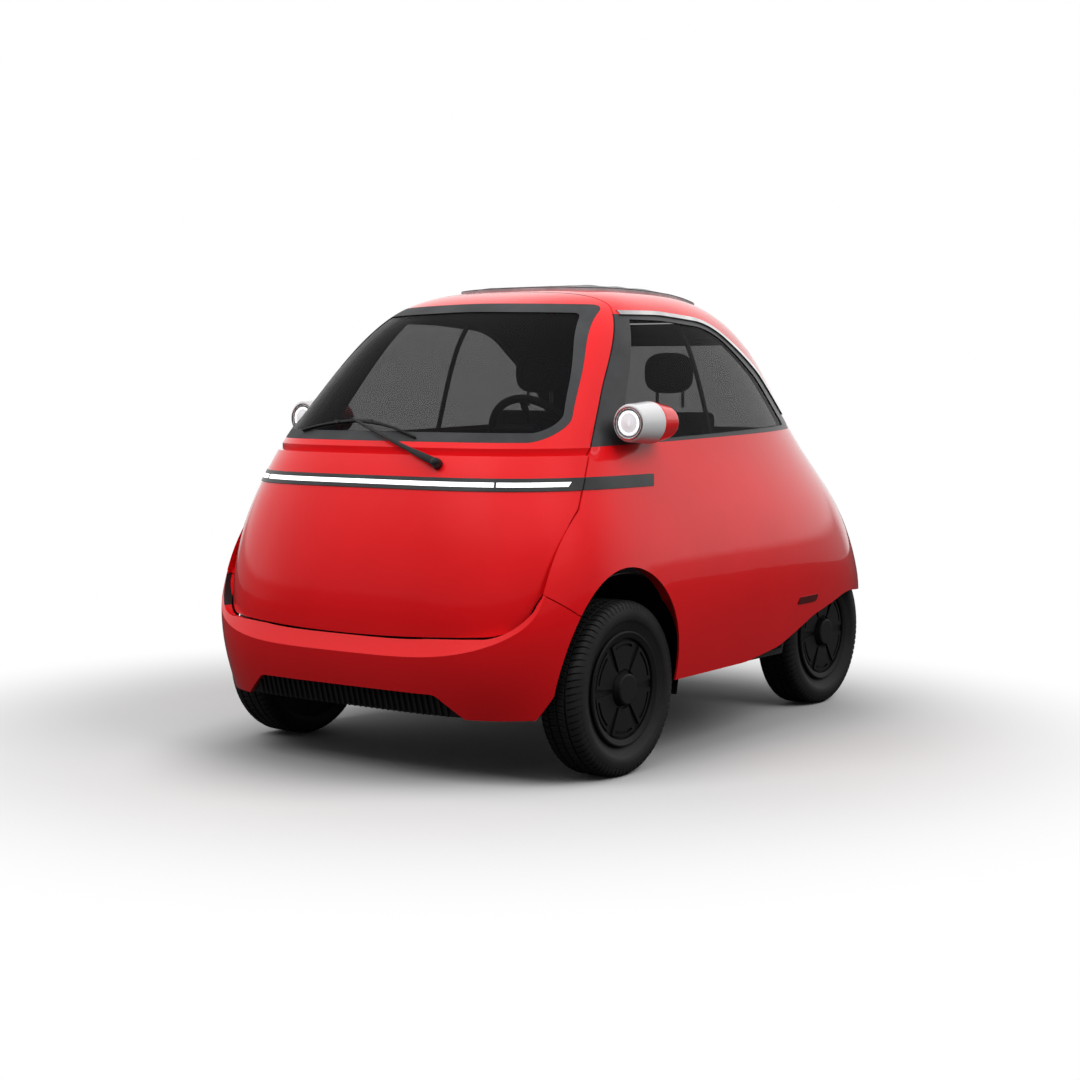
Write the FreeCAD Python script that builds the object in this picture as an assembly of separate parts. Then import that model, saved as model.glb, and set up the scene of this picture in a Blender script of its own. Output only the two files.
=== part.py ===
import FreeCAD, Part
import math
import os
from FreeCAD import Vector

# A two-seat microcar with one door, which is its whole front, and a narrow rear track.
# The car's front faces -Y, its left side +X, and it stands on Z = 0. All sizes are in millimetres.

# Overall and running gear
wheelbase = 1566.0
front_axle_y = -753.0
rear_axle_y = front_axle_y + wheelbase
front_track = 1274.0
rear_track = 920.0

# Tyre and wheel
tyre_radius = 266.5
tyre_width = 145.0
rim_radius = 165.0
rim_width = 112.0
rim_wall = 9.0
cover_radius = 180.0
cover_proud = 68.0
cover_sectors = 6
hub_cap_radius = 46.0
hub_radius = 38.0
stub_radius = 14.0
running_gap = 0.3

# Skins: depth below the painted surface
wall = 34.0
glass_depth = 3.0
glass_thickness = 5.0
seal_depth = 20.0
panel_gap = 5.0
strip_depth = 12.0

# Heights of the body's edges
bumper_bottom = 206.0
bumper_seam = ((-1400, 779), (-1070, 565), (-982, 508), (-600, 508))
floor_height = 262.0
floor_thickness = 18.0
# Lower edge of the side, seen from the side (y, z, corner radius)
lower_edge = (
    (-560, 262, 0),
    (-60, 270, 500),
    (150, 300, 300),
    (390, 384, 200),
    (700, 440, 600),
    (1112, 404, 200),
    (1400, 404, 0),
)
seat_gap = 0.3

# Lower intake in the bumper, seen from the front
intake_top = 275.0
intake_half_bottom = 487.0
intake_half_top = 348.0
intake_corner = 44.0
intake_recess = 9.0
rib_pitch = 22.0
rib_width = 6.0
grille_half_width = 390.0

# Body form: each row is a level outline of the painted surface, made of two half superellipses.
# height, front, half width, rear, station of the widest point, front exponent, rear exponent
body_rows = (
    (206, -1215, 700, 1216, -350, 4.9, 3.5),
    (290, -1243, 718, 1240, -350, 4.8, 3.5),
    (400, -1265, 738, 1256, -350, 4.6, 3.5),
    (520, -1262, 747, 1208, -350, 4.4, 3.4),
    (640, -1226, 738, 1158, -350, 4.3, 3.3),
    (760, -1176, 704, 1100, -350, 4.3, 3.2),
    (880, -1124, 657, 1010, -350, 4.3, 3.0),
    (1000, -1066, 610, 912, -350, 4.2, 2.9),
    (1120, -955, 580, 830, -340, 3.9, 2.8),
    (1230, -842, 548, 742, -320, 3.7, 2.8),
    (1330, -735, 510, 635, -300, 3.5, 2.8),
    (1405, -640, 462, 525, -280, 3.3, 2.7),
    (1455, -545, 400, 415, -250, 3.1, 2.6),
    (1482, -430, 320, 305, -220, 2.9, 2.6),
    (1493, -300, 220, 180, -180, 2.8, 2.6),
)
# The door's own skin lies behind the bumper's at the bottom: depth of the set-back at each row
door_set_back = (34, 34, 34, 30, 16, 4, 0, 0, 0, 0, 0, 0, 0, 0, 0)
# The bumper's upper face falls back to the door along a squarer surface
shelf_rows = (
    (180, -1348, 800, 1400, -350, 6.0, 3.6),
    (260, -1326, 790, 1400, -350, 6.0, 3.6),
    (320, -1293, 775, 1400, -350, 6.0, 3.6),
    (370, -1264, 762, 1400, -350, 6.0, 3.6),
    (420, -1234, 762, 1400, -350, 6.0, 3.6),
    (470, -1204, 764, 1400, -350, 6.0, 3.6),
    (520, -1176, 770, 1400, -350, 6.0, 3.6),
    (560, -1156, 776, 1400, -350, 6.0, 3.6),
    (620, -1130, 776, 1400, -350, 6.0, 3.6),
)
outline_poles = 40

# Front door, seen from the side (y, z, corner radius): all of the skin ahead of this line
door_line = (
    (-1500, 380, 0),
    (-1150, 380, 0),
    (-1079, 540, 60),
    (-868, 866, 300),
    (-646, 1173, 900),
    (-414, 1438, 36),
    (-440, 1480, 0),
    (-440, 1560, 0),
    (-1500, 1560, 0),
)
# and seen from the front (x, z, corner radius)
door_half_width = 640.0
door_bottom = 422.0
door_bottom_side = 453.0
door_bottom_bow = 6000.0
door_corner = 148.0

# The door's inner panel
liner_inset = 46.0
liner_top = 940.0
liner_thickness = 10.0

# Windscreen opening, seen from the front
screen_bottom = 1006.0
screen_top = 1438.0
screen_shoulder = 1429.0
screen_half_bottom = 562.0
screen_half_middle = 496.0
screen_middle = 1236.0
screen_half_top = 412.0
screen_bottom_corner = 58.0
screen_top_corner = 45.0
seal_width = 28.0
seal_side_width = 20.0

# Step in the door's skin under the windscreen
cowl_low = 967.0
cowl_high = 989.0

# Lamp strip round the nose
strip_low = 867.0
strip_high = 904.0
led_low = 879.0
led_high = 892.0
strip_rear_low = -542.0
strip_rear_high = -521.0
strip_proud = 1.5
led_half = 606.0

# Side window opening, seen from the side
aperture = (
    (-880, 989, 0),
    (-560, 1400, 0),
    (-420, 1399, 0),
    (-216, 1402, 900),
    (90, 1382, 420),
    (400, 1215, 420),
    (612, 1040, 12),
    (600, 1019, 0),
)
glass_front_low = -652.0
glass_front_high = -398.0
glass_belt_front = 1002.0
glass_belt_rear = 1033.0
top_trim = 16.0
drip_width = 13.0
bar_y = -76.0
bar_width = 16.0
drip_proud = 5.0
drip_depth = 6.0

# Folding roof
roof_half_width = 285.0
roof_front = -345.0
roof_rear = 330.0
roof_corner = 60.0
fabric_proud = 7.0
fabric_depth = 14.0

# Lamp and mirror pods
pod_centre = Vector(668, -612, 1062)
pod_radius = 65.5
pod_length = 236.0
pod_split = -584.0
lens_radius = 39.0
lens_depth = 10.0
lens_bulge = 5.0

# Side marker over the rear wheel, seen from the side (y, z, corner radius)
side_marker = ((243, 432, 5), (262, 455, 5), (407, 455, 5), (388, 432, 5))
side_marker_proud = 3.0

# Wiper, seen from the front (x, z)
wiper_pivot = (254, 940)
blade_points = ((-362, 1032), (-141, 1064), (134, 1020))
blade_width = 9.0

# Rear bumper seams
rear_seam_y = 1085.0
rear_seam_z = 636.0

# Front wheel arch: an oval opening in the skin, and a round wheelhouse behind it
arch_half_length = 276.5
arch_height = 360.0
arch_oval_y = -767.5
arch_lean = 36.0
# The walls thin to a lip where the tyres need room to turn and roll
arch_lip = 6.0
front_room_radius = 316.0
rear_room_radius = 278.5
rear_room_side = 8.0
arch_radius = 338.0
arch_y = front_axle_y - 6.0
arch_z = 276.0
wheelhouse_wall = 4.0
wheelhouse_inner = 372.0

# Tailgate and rear window, seen from behind
gate_bottom = 640.0
gate_top = 1400.0
gate_half_bottom = 482.0
gate_half_top = 402.0
gate_gap = 6.0
gate_hinge_z = 1416.0
gate_hinge_y = 545.0
rear_glass_bottom = 985.0
rear_glass_top = 1345.0
rear_glass_half_bottom = 430.0
rear_glass_half_top = 310.0
rear_lamp_low = 880.0
rear_lamp_high = 916.0
rear_plate_half = (264.0, 59.0)
rear_plate_centre = Vector(0, 1233, 486)
rear_plate_tilt = 20.0

# Steering
stub_reach = 22.0
spring_pitch = 26.0
kingpin_foot = Vector(556, front_axle_y, 165)
kingpin_head = Vector(470, front_axle_y + 18, 600)
kingpin_drop = 3.2
spring_radius = 34.0
spring_wire = 5.0
steering_centre = Vector(262, -606, 985)
steering_radius = 168.0
steering_tilt = 28.0
gauge_half = 80.0
gauge_height = 100.0

# Cabin
rear_wall_y = 236.0
deck_height = 560.0
mat_height = 8.0
mat_half_width = 400.0
mat_rear = 760.0
jack_x = 500.0
jack_y = -160.0
jack_drop = 9.0
battery_height = 140.0
seat_front = -370.0
seat_back_y = 90.0
seat_top = 1096.0


def line_and_arcs(points):
    """Straight runs between points (u, v, radius), each corner rounded by its own radius."""
    corners = []
    count = len(points)
    for i, (u, v, radius) in enumerate(points):
        here = Vector(u, v, 0)
        before = Vector(points[i - 1][0], points[i - 1][1], 0)
        after = Vector(points[(i + 1) % count][0], points[(i + 1) % count][1], 0)
        if not radius:
            corners.append((here, None, here))
            continue
        to_before = (before - here).normalize()
        to_after = (after - here).normalize()
        half = to_before.getAngle(to_after) / 2
        cut = radius / math.tan(half)
        inward = (to_before + to_after).normalize()
        middle = here + inward * (radius / math.sin(half) - radius)
        corners.append((here + to_before * cut, middle, here + to_after * cut))
    return corners


def outline_face(points, place):
    """A flat face inside a rounded outline. place turns (u, v) into a point in space."""
    edges = []
    corners = line_and_arcs(points)
    for i, (start, middle, end) in enumerate(corners):
        if middle is not None:
            edges.append(Part.Arc(place(start), place(middle), place(end)).toShape())
        following = corners[(i + 1) % len(corners)][0]
        if (following - end).Length > 1e-6:
            edges.append(Part.LineSegment(place(end), place(following)).toShape())
    return Part.Face(Part.Wire(edges))


def prism_x(points, x_from, x_to):
    """The outline, drawn in (y, z), run from one x to another."""
    face = outline_face(points, lambda p: Vector(x_from, p.x, p.y))
    return face.extrude(Vector(x_to - x_from, 0, 0))


def prism_y(points, y_from, y_to):
    """The outline, drawn in (x, z), run from one y to another."""
    face = outline_face(points, lambda p: Vector(p.x, y_from, p.y))
    return face.extrude(Vector(0, y_to - y_from, 0))


def prism_z(points, z_from, z_to):
    """The outline, drawn in (x, y), run from one z to another."""
    face = outline_face(points, lambda p: Vector(p.x, p.y, z_from))
    return face.extrude(Vector(0, 0, z_to - z_from))


def block(x_from, x_to, y_from, y_to, z_from, z_to):
    return Part.makeBox(x_to - x_from, y_to - y_from, z_to - z_from, Vector(x_from, y_from, z_from))


def rounded_block(x_from, x_to, y_from, y_to, z_from, z_to, radius):
    solid = block(x_from, x_to, y_from, y_to, z_from, z_to)
    return solid.makeFillet(radius, solid.Edges)


def rod(start, end, radius):
    along = end - start
    return Part.makeCylinder(radius, along.Length, start, along)


def mirrored(shape):
    return shape.mirror(Vector(0, 0, 0), Vector(1, 0, 0))


def both_sides(shape):
    return Part.Compound(shape.Solids + mirrored(shape).Solids)


def surface_point(rows, depth, x, z):
    """The point of the front surface at that depth, width and height."""
    ray = Part.makeLine(Vector(x, -1600, z), Vector(x, -200, z))
    inside = ray.common(body_solid(rows, depth))
    return Vector(x, min(v.Y for v in inside.Vertexes), z)


def body_grid(rows, depth):
    """Control points of the painted surface, moved inwards by depth along its normals."""
    grid = []
    for height, front, half_width, rear, widest, front_power, rear_power in rows:
        ring = []
        for j in range(outline_poles):
            angle = math.pi + 2 * math.pi * j / outline_poles
            across, ahead = math.sin(angle), math.cos(angle)
            power = front_power if ahead > 0 else rear_power
            reach = widest - front if ahead > 0 else rear - widest
            grow = (abs(across) ** power + abs(ahead) ** power) ** (-1 / power)
            ring.append(Vector(half_width * grow * across, widest - reach * grow * ahead, height))
        grid.append(ring)
    last = len(grid) - 1
    moved = []
    for i, ring in enumerate(grid):
        new_ring = []
        for j, point in enumerate(ring):
            up = grid[min(i + 1, last)][j] - grid[max(i - 1, 0)][j]
            side = ring[(j + 1) % outline_poles] - ring[j - 1]
            normal = side.cross(up).normalize()
            place = point - normal * depth
            if i == 0:
                place.z = point.z
            if i == last:
                place.z = point.z - depth
            new_ring.append(place)
        moved.append(new_ring)
    return moved


made_solids = {}


def body_solid(rows, depth, extend=0.0):
    """The solid inside the painted surface at that depth, run down by extend at its foot."""
    key = (rows, depth, extend)
    if key not in made_solids:
        made_solids[key] = new_body_solid(rows, depth, extend)
    return made_solids[key]


def new_body_solid(rows, depth, extend):
    grid = body_grid(rows, depth)
    if extend:
        grid.insert(0, [Vector(p.x, p.y, p.z - extend) for p in grid[0]])
    count = len(grid)
    surface = Part.BSplineSurface()
    surface.buildFromPolesMultsKnots(
        grid,
        [4] + [1] * (count - 4) + [4],
        [1] * (outline_poles + 1),
        list(range(count - 2)),
        list(range(outline_poles + 1)),
        False,
        True,
        3,
        3,
    )
    ends = [Part.Face(Part.Wire([surface.uIso(k).toShape()])) for k in (0, count - 3)]
    shell = Part.Shell([surface.toShape()] + ends)
    shell.sewShape()
    solid = Part.Solid(shell)
    if solid.Volume < 0:
        solid.reverse()
    return solid


def layer(rows, outer_depth, inner_depth, zone=None):
    """The layer of the body between two depths, open at its foot, inside a zone."""
    outer = body_solid(rows, outer_depth)
    if zone is not None:
        outer = outer.common(zone)
    return outer.cut(body_solid(rows, inner_depth, 90.0))


def door_rows():
    rows = []
    for row, back in zip(body_rows, door_set_back):
        height, front, half_width, rear, widest, front_power, rear_power = row
        rows.append((height, front + back, half_width - back, rear, widest, front_power, rear_power))
    return tuple(rows)


def door_region(inset):
    """Everything ahead of the door's shut line, drawn in by inset all round."""
    face = outline_face(door_line, lambda p: Vector(-900, p.x, p.y))
    if inset:
        face = Part.Face(face.OuterWire.makeOffset2D(-inset))
    side = face.extrude(Vector(1800, 0, 0))
    half_width = door_half_width - inset
    low = door_bottom + inset
    side_low = door_bottom_side + inset
    front = prism_y(
        (
            (-half_width, 1600, 0),
            (-half_width, side_low, door_corner - inset),
            (0, low, door_bottom_bow),
            (half_width, side_low, door_corner - inset),
            (half_width, 1600, 0),
        ),
        -1600,
        -100,
    )
    return side.common(front)


def screen_prism(inset, side_inset):
    """The windscreen opening, drawn in by one margin above and below and another at its sides."""
    round_low = screen_bottom_corner - inset / 2
    round_high = screen_top_corner - inset / 2
    high = screen_shoulder - inset
    low = screen_bottom + inset
    half_top = screen_half_top - side_inset
    half_middle = screen_half_middle - side_inset
    half_bottom = screen_half_bottom - side_inset
    outline = (
        (0, screen_top - inset, 2400),
        (-half_top, high, round_high),
        (-half_middle, screen_middle, 800),
        (-half_bottom, low, round_low),
        (half_bottom, low, round_low),
        (half_middle, screen_middle, 800),
        (half_top, high, round_high),
    )
    return prism_y(outline, -1400, -100)


def gate_prism(inset):
    return prism_y(
        (
            (-gate_half_top + inset, gate_top - inset, 60),
            (-gate_half_bottom + inset, gate_bottom + inset, 60),
            (gate_half_bottom - inset, gate_bottom + inset, 60),
            (gate_half_top - inset, gate_top - inset, 60),
        ),
        430,
        1400,
    )


def rear_glass_prism(inset):
    return prism_y(
        (
            (-rear_glass_half_top + inset, rear_glass_top - inset, 60),
            (-rear_glass_half_bottom + inset, rear_glass_bottom + inset, 70),
            (rear_glass_half_bottom - inset, rear_glass_bottom + inset, 70),
            (rear_glass_half_top - inset, rear_glass_top - inset, 60),
        ),
        430,
        1400,
    )


def aperture_prism(grow, x_from, x_to):
    """The side window opening, from pillar to belt, grown by an even margin."""
    face = outline_face(aperture, lambda p: Vector(x_from, p.x, p.y))
    if grow:
        face = Part.Face(face.OuterWire.makeOffset2D(grow))
    return face.extrude(Vector(x_to - x_from, 0, 0))


def glass_outline_prism(x_from, x_to):
    """The clear part of the side window."""
    points = [(glass_front_low, glass_belt_front, 26), (glass_front_high, aperture[2][1] - top_trim, 14)]
    points += [(y, z - top_trim - 3, radius) for y, z, radius in aperture[3:5]]
    rear_y, rear_z = aperture[5][0], aperture[5][1]
    points += [(rear_y - 30, rear_z - 26, 380), (aperture[6][0] - 92, glass_belt_rear, 8)]
    face = outline_face(points, lambda p: Vector(x_from, p.x, p.y))
    return face.extrude(Vector(x_to - x_from, 0, 0))


def arch_cutter():
    """The oval opening in the side over a front wheel, both sides at once."""
    oval = Part.Ellipse(Vector(0, 0, 0), arch_height, arch_half_length)
    face = Part.Face(Part.Wire([oval.toShape()]))
    opening = face.extrude(Vector(0, 0, 1800))
    turn = FreeCAD.Rotation(Vector(0, 0, 1), Vector(0, -1, 0), Vector(1, 0, 0), "ZXY")
    opening.Placement = FreeCAD.Placement(Vector(-900, arch_oval_y, arch_z), turn)
    low, high = arch_oval_y - arch_half_length, arch_oval_y + arch_half_length
    corners = ((low, arch_z, 0), (low - arch_lean, 200, 0), (low - arch_lean, 0, 0))
    corners += ((high, 0, 0), (high, arch_z, 0))
    return opening.fuse(prism_x(corners, -900, 900))


def wheel_room():
    """The room that the tyres need in the side walls, up to the lip under the skin."""
    wide = 900.0
    along = Vector(1, 0, 0)
    front = Part.makeCylinder(front_room_radius, 2 * wide, Vector(-wide, front_axle_y, tyre_radius), along)
    reach = (rear_track + tyre_width) / 2 + rear_room_side
    rear = Part.makeCylinder(rear_room_radius, 2 * reach, Vector(-reach, rear_axle_y, tyre_radius), along)
    return front.fuse(rear).common(body_solid(body_rows, arch_lip))


def lower_edge_cutter():
    """What lies under the body's lower edge: sill, the kick over the rear wheel and the skirt."""
    front_y, rear_y = lower_edge[0][0], lower_edge[-1][0]
    return prism_x(((front_y, 0, 0),) + lower_edge + ((rear_y, 0, 0),), -900, 900)


def cowl_cutter():
    """What is taken off above the bonnet line, so that an upright step is left there."""
    base = body_solid(body_rows, 0)
    outline = base.slice(Vector(0, 0, 1), cowl_high)[0]
    upright = Part.Face(outline).extrude(Vector(0, 0, cowl_low - cowl_high))
    band = block(-900, 900, -1400, -200, cowl_low, cowl_high)
    return body_solid(body_rows, -12).common(band).cut(upright)


def groove(zone, depth):
    """The room that a strip let into the skin takes, reaching out past the surface."""
    return body_solid(body_rows, -12).common(zone).cut(body_solid(body_rows, depth, 90))


def intake_zone(inset):
    """The lower intake in the bumper, open at the bumper's foot."""
    foot = bumper_bottom - 40
    return prism_y(
        (
            (-intake_half_top + inset, intake_top - inset, intake_corner - inset),
            (-intake_half_bottom + inset, foot, 0),
            (intake_half_bottom - inset, foot, 0),
            (intake_half_top - inset, intake_top - inset, intake_corner - inset),
        ),
        -1400,
        -900,
    )


def roof_opening(inset):
    half_width = roof_half_width - inset
    front, rear = roof_front + inset, roof_rear - inset
    return prism_z(
        (
            (-half_width, front, roof_corner),
            (-half_width, rear, roof_corner),
            (half_width, rear, roof_corner),
            (half_width, front, roof_corner),
        ),
        1300,
        1600,
    )


def roof_zone():
    """The part of the body above the belt line, behind the door's header."""
    return prism_x(
        (
            (-1000, 1399, 0),
            (-420, 1399, 0),
            (300, 1250, 0),
            (575, 1014, 0),
            (1400, 1014, 0),
            (1400, 1700, 0),
            (-1000, 1700, 0),
        ),
        -900,
        900,
    )


def shell_panels():
    """Bumpers, side panels and roof: the painted skin that stays with the body."""
    parts = {}
    shell = layer(body_rows, 0, wall)
    shell = shell.cut(arch_cutter()).cut(lower_edge_cutter())
    shell = shell.cut(wheel_room())
    shell = shell.cut(door_region(0)).cut(aperture_prism(0, -900, 900)).cut(gate_prism(0))
    seam = panel_gap * 0.4
    bumper = shell.common(bumper_zone(-seam))
    bumper = bumper.common(body_solid(shelf_rows, 0))
    parts["front_bumper"] = bumper.cut(intake_zone(0))
    rest = shell.cut(bumper_zone(seam))
    parts["rear_bumper"] = rest.common(block(-900, 900, rear_seam_y + seam, 1400, 0, rear_seam_z - seam))
    rest = rest.cut(block(-900, 900, rear_seam_y - seam, 1400, 0, rear_seam_z + seam))
    above = roof_zone()
    roof = rest.common(above).cut(roof_opening(0))
    rail = rail_zone()
    parts["roof_panel"] = roof.cut(groove(rail, drip_depth + seat_gap))
    rails = layer(body_rows, -drip_proud, drip_depth, rail)
    parts["drip_rails"] = rails
    sides = rest.cut(above).cut(groove(side_strip_zone(), strip_depth))
    sides = sides.cut(groove(rail, drip_depth + seat_gap))
    parts["side_panel_left"] = sides.common(block(0, 900, -1400, 1400, 0, 1600))
    parts["side_panel_right"] = sides.common(block(-900, 0, -1400, 1400, 0, 1600))
    return parts


def bumper_zone(rise):
    """What lies below the seam between the front bumper and the side panels."""
    points = [(-1400, 0, 0), (bumper_seam[-1][0], 0, 0)]
    points += [(y, z + rise, 0) for y, z in reversed(bumper_seam)]
    return prism_x(points, -900, 900).common(block(-900, 900, -1400, arch_y, 0, 900))


def rail_zone():
    """A narrow band over the top arc of both side windows."""
    ring = aperture_prism(drip_width, -900, 900).cut(aperture_prism(0, -900, 900))
    keep = prism_x(((-428, 1500, 0), (-428, 1300, 0), (572, 1062, 0), (800, 1300, 0)), -900, 900)
    return ring.common(keep)


def strip_zone():
    return block(-900, 900, -1400, -200, strip_low, strip_high)


def side_strip_zone():
    behind_door = prism_x(
        (
            (-1400, strip_low, 0),
            (strip_rear_low, strip_low, 0),
            (strip_rear_high, strip_high, 0),
            (-1400, strip_high, 0),
        ),
        -900,
        900,
    )
    return behind_door.cut(door_region(0))


def door_panels():
    """The front door with its windscreen and lamp strip."""
    parts = {}
    region = door_region(panel_gap)
    door = layer(door_rows(), 0, wall, region)
    liner_zone = door_region(liner_inset).common(block(-900, 900, -1400, -200, 0, liner_top))
    liner_depth = wall + seat_gap
    parts["door_liner"] = layer(door_rows(), liner_depth, liner_depth + liner_thickness, liner_zone)
    door = door.cut(screen_prism(0, 0)).cut(cowl_cutter())
    parts["front_door"] = door.cut(groove(strip_zone(), strip_depth))
    led_zone = block(-led_half, led_half, -1400, -200, led_low, led_high).common(region)
    strip = layer(body_rows, -strip_proud, strip_depth - seat_gap, strip_zone().common(region))
    bed = groove(led_zone, strip_depth / 2)
    parts["light_bar"] = strip.cut(bed)
    parts["light_bar_lens"] = layer(body_rows, -strip_proud - 1, strip_depth / 2 - seat_gap, led_zone)
    ring = screen_prism(seat_gap, seat_gap).cut(screen_prism(seal_width, seal_side_width)).common(region)
    parts["windscreen_seal"] = layer(body_rows, 0, seal_depth, ring)
    pane = screen_prism(seal_width + seat_gap, seal_side_width + seat_gap)
    parts["windscreen"] = layer(body_rows, glass_depth, glass_depth + glass_thickness, pane)
    return parts


def side_glass():
    parts = {}
    opening = aperture_prism(-seat_gap, 100, 900).cut(door_region(0))
    trim = layer(body_rows, 0, seal_depth, opening.cut(glass_outline_prism(100, 900)))
    parts["window_trims"] = both_sides(trim)
    pane_zone = glass_outline_prism(100, 900)
    pane = layer(body_rows, glass_depth, glass_depth + glass_thickness, pane_zone)
    parts["side_windows"] = both_sides(pane)
    bar_zone = block(100, 900, bar_y - bar_width / 2, bar_y + bar_width / 2, 900, 1500)
    bar_depth = seal_depth + seat_gap
    bar = layer(body_rows, bar_depth, bar_depth + 9, bar_zone.common(aperture_prism(-6, 100, 900)))
    parts["window_bars"] = both_sides(bar)
    strip = layer(body_rows, -strip_proud, strip_depth - seat_gap, side_strip_zone())
    parts["side_strips"] = strip
    return parts


def tail_panels():
    """The tailgate with its window and lamp bar."""
    parts = {}
    gate = layer(body_rows, 0, wall, gate_prism(gate_gap))
    lamp_zone = block(-600, 600, 430, 1400, rear_lamp_low, rear_lamp_high).common(gate_prism(gate_gap))
    parts["tailgate"] = gate.cut(rear_glass_prism(0)).cut(groove(lamp_zone, strip_depth))
    half_width, half_height = rear_plate_half
    holder = block(-half_width, half_width, -60, 0, -half_height, half_height)
    holder = holder.makeFillet(6, [e for e in holder.Edges if e.BoundBox.YLength > 50])
    holder.rotate(Vector(0, 0, 0), Vector(1, 0, 0), rear_plate_tilt)
    holder.translate(rear_plate_centre)
    parts["rear_plate_holder"] = holder.cut(body_solid(body_rows, -seat_gap))
    parts["rear_lamp_bar"] = layer(body_rows, -strip_proud, strip_depth - seat_gap, lamp_zone)
    ring = rear_glass_prism(seat_gap).cut(rear_glass_prism(seal_width))
    parts["rear_window_seal"] = layer(body_rows, 0, seal_depth, ring)
    pane = rear_glass_prism(seal_width + seat_gap)
    parts["rear_window"] = layer(body_rows, glass_depth, glass_depth + glass_thickness, pane)
    return parts


def roof_and_grille():
    parts = {}
    parts["sunroof"] = layer(body_rows, -fabric_proud, fabric_depth, roof_opening(seat_gap))
    zone = intake_zone(seat_gap).cut(block(-900, 900, -1500, -200, 0, bumper_bottom + 3))
    back = layer(body_rows, intake_recess + 8, intake_recess + 14, zone)
    slats = []
    count = int(grille_half_width / rib_pitch)
    for k in range(-count, count + 1):
        middle = k * rib_pitch
        slats.append(block(middle - rib_width / 2, middle + rib_width / 2, -1400, -900, 0, 400))
    ribs = layer(body_rows, intake_recess, intake_recess + 9, zone.common(Part.Compound(slats)))
    parts["grille"] = back.fuse(ribs.Solids)
    return parts


def tyre_shape():
    """A low-pressure car tyre about the X axis, centred on the origin."""
    half = tyre_width / 2
    bead = rim_width / 2
    points = (
        (-bead + 6, rim_radius, 0),
        (-bead - 1, rim_radius + 22, 12),
        (-half - 2, rim_radius + 52, 30),
        (-half + 4, tyre_radius - 12, 16),
        (-half + 26, tyre_radius, 20),
        (half - 26, tyre_radius, 20),
        (half - 4, tyre_radius - 12, 16),
        (half + 2, rim_radius + 52, 30),
        (bead + 1, rim_radius + 22, 12),
        (bead - 6, rim_radius, 0),
    )
    face = outline_face(points, lambda p: Vector(p.x, 0, p.y))
    return face.revolve(Vector(0, 0, 0), Vector(1, 0, 0), 360)


def wheel_shape():
    """Rim, disc and six-sector cover about the X axis, its outer face towards +X."""
    half = rim_width / 2 - 7
    barrel = Part.makeCylinder(rim_radius, 2 * half, Vector(-half, 0, 0), Vector(1, 0, 0))
    bore = Part.makeCylinder(rim_radius - rim_wall, 2 * half, Vector(-half, 0, 0), Vector(1, 0, 0))
    barrel = barrel.cut(bore)
    disc = Part.makeCylinder(rim_radius - 1, 8, Vector(24, 0, 0), Vector(1, 0, 0))
    hub = Part.makeCylinder(hub_radius, 52, Vector(-20, 0, 0), Vector(1, 0, 0))
    ring = outline_face(
        (
            (half - 2, rim_radius - 12, 0),
            (half - 2, rim_radius - 1, 0),
            (bead_face(), rim_radius - 1, 0),
            (bead_face(), cover_radius, 4),
            (cover_proud, cover_radius - 8, 5),
            (cover_proud - 6, rim_radius - 12, 4),
        ),
        lambda p: Vector(p.x, 0, p.y),
    ).revolve(Vector(0, 0, 0), Vector(1, 0, 0), 360)
    dish = Part.makeCylinder(rim_radius - 10, 5, Vector(half - 2, 0, 0), Vector(1, 0, 0))
    cap = Part.makeCone(hub_cap_radius + 8, hub_cap_radius, 26, Vector(half + 2, 0, 0), Vector(1, 0, 0))
    cap = cap.makeFillet(7, [e for e in cap.Edges if e.BoundBox.XMin > half + 20])
    shape = barrel.fuse([disc, hub, ring, dish, cap])
    sector = sector_plate(half)
    for k in range(cover_sectors):
        plate = sector.copy()
        plate.rotate(Vector(0, 0, 0), Vector(1, 0, 0), 360.0 * k / cover_sectors)
        shape = shape.fuse(plate)
    bore_hole = Part.makeCylinder(stub_radius + running_gap, 60, Vector(-21, 0, 0), Vector(1, 0, 0))
    return shape.cut(bore_hole).removeSplitter()


def bead_face():
    """Where the wheel cover's rim sits over the tyre's bead."""
    return rim_width / 2 + 2


def sector_plate(half):
    """One raised plate of the wheel cover, between two ribs."""
    spread = math.radians(180.0 / cover_sectors) - 0.09
    inner, outer = hub_cap_radius + 14, rim_radius - 20

    def at(radius, angle):
        return Vector(half + 2, radius * math.sin(angle), radius * math.cos(angle))

    edges = [
        Part.Arc(at(outer, -spread), at(outer, 0), at(outer, spread)).toShape(),
        Part.LineSegment(at(outer, spread), at(inner, spread)).toShape(),
        Part.Arc(at(inner, spread), at(inner, 0), at(inner, -spread)).toShape(),
        Part.LineSegment(at(inner, -spread), at(outer, -spread)).toShape(),
    ]
    plate = Part.Face(Part.Wire(edges)).extrude(Vector(8, 0, 0))
    middle, reach = outer - 12, spread - 0.1
    slot = [
        Part.Arc(at(middle + 4, -reach), at(middle + 4, 0), at(middle + 4, reach)).toShape(),
        Part.LineSegment(at(middle + 4, reach), at(middle - 4, reach)).toShape(),
        Part.Arc(at(middle - 4, reach), at(middle - 4, 0), at(middle - 4, -reach)).toShape(),
        Part.LineSegment(at(middle - 4, -reach), at(middle + 4, -reach)).toShape(),
    ]
    cut = Part.Face(Part.Wire(slot)).extrude(Vector(8, 0, 0))
    cut.translate(Vector(2, 0, 0))
    return plate.cut(cut)


def placed(shape, x, y, side):
    """A wheel part moved to its axle end. side is 1 on the left and -1 on the right."""
    made = shape.copy()
    if side < 0:
        made = mirrored(made)
    made.translate(Vector(x, y, tyre_radius))
    return made


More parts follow.
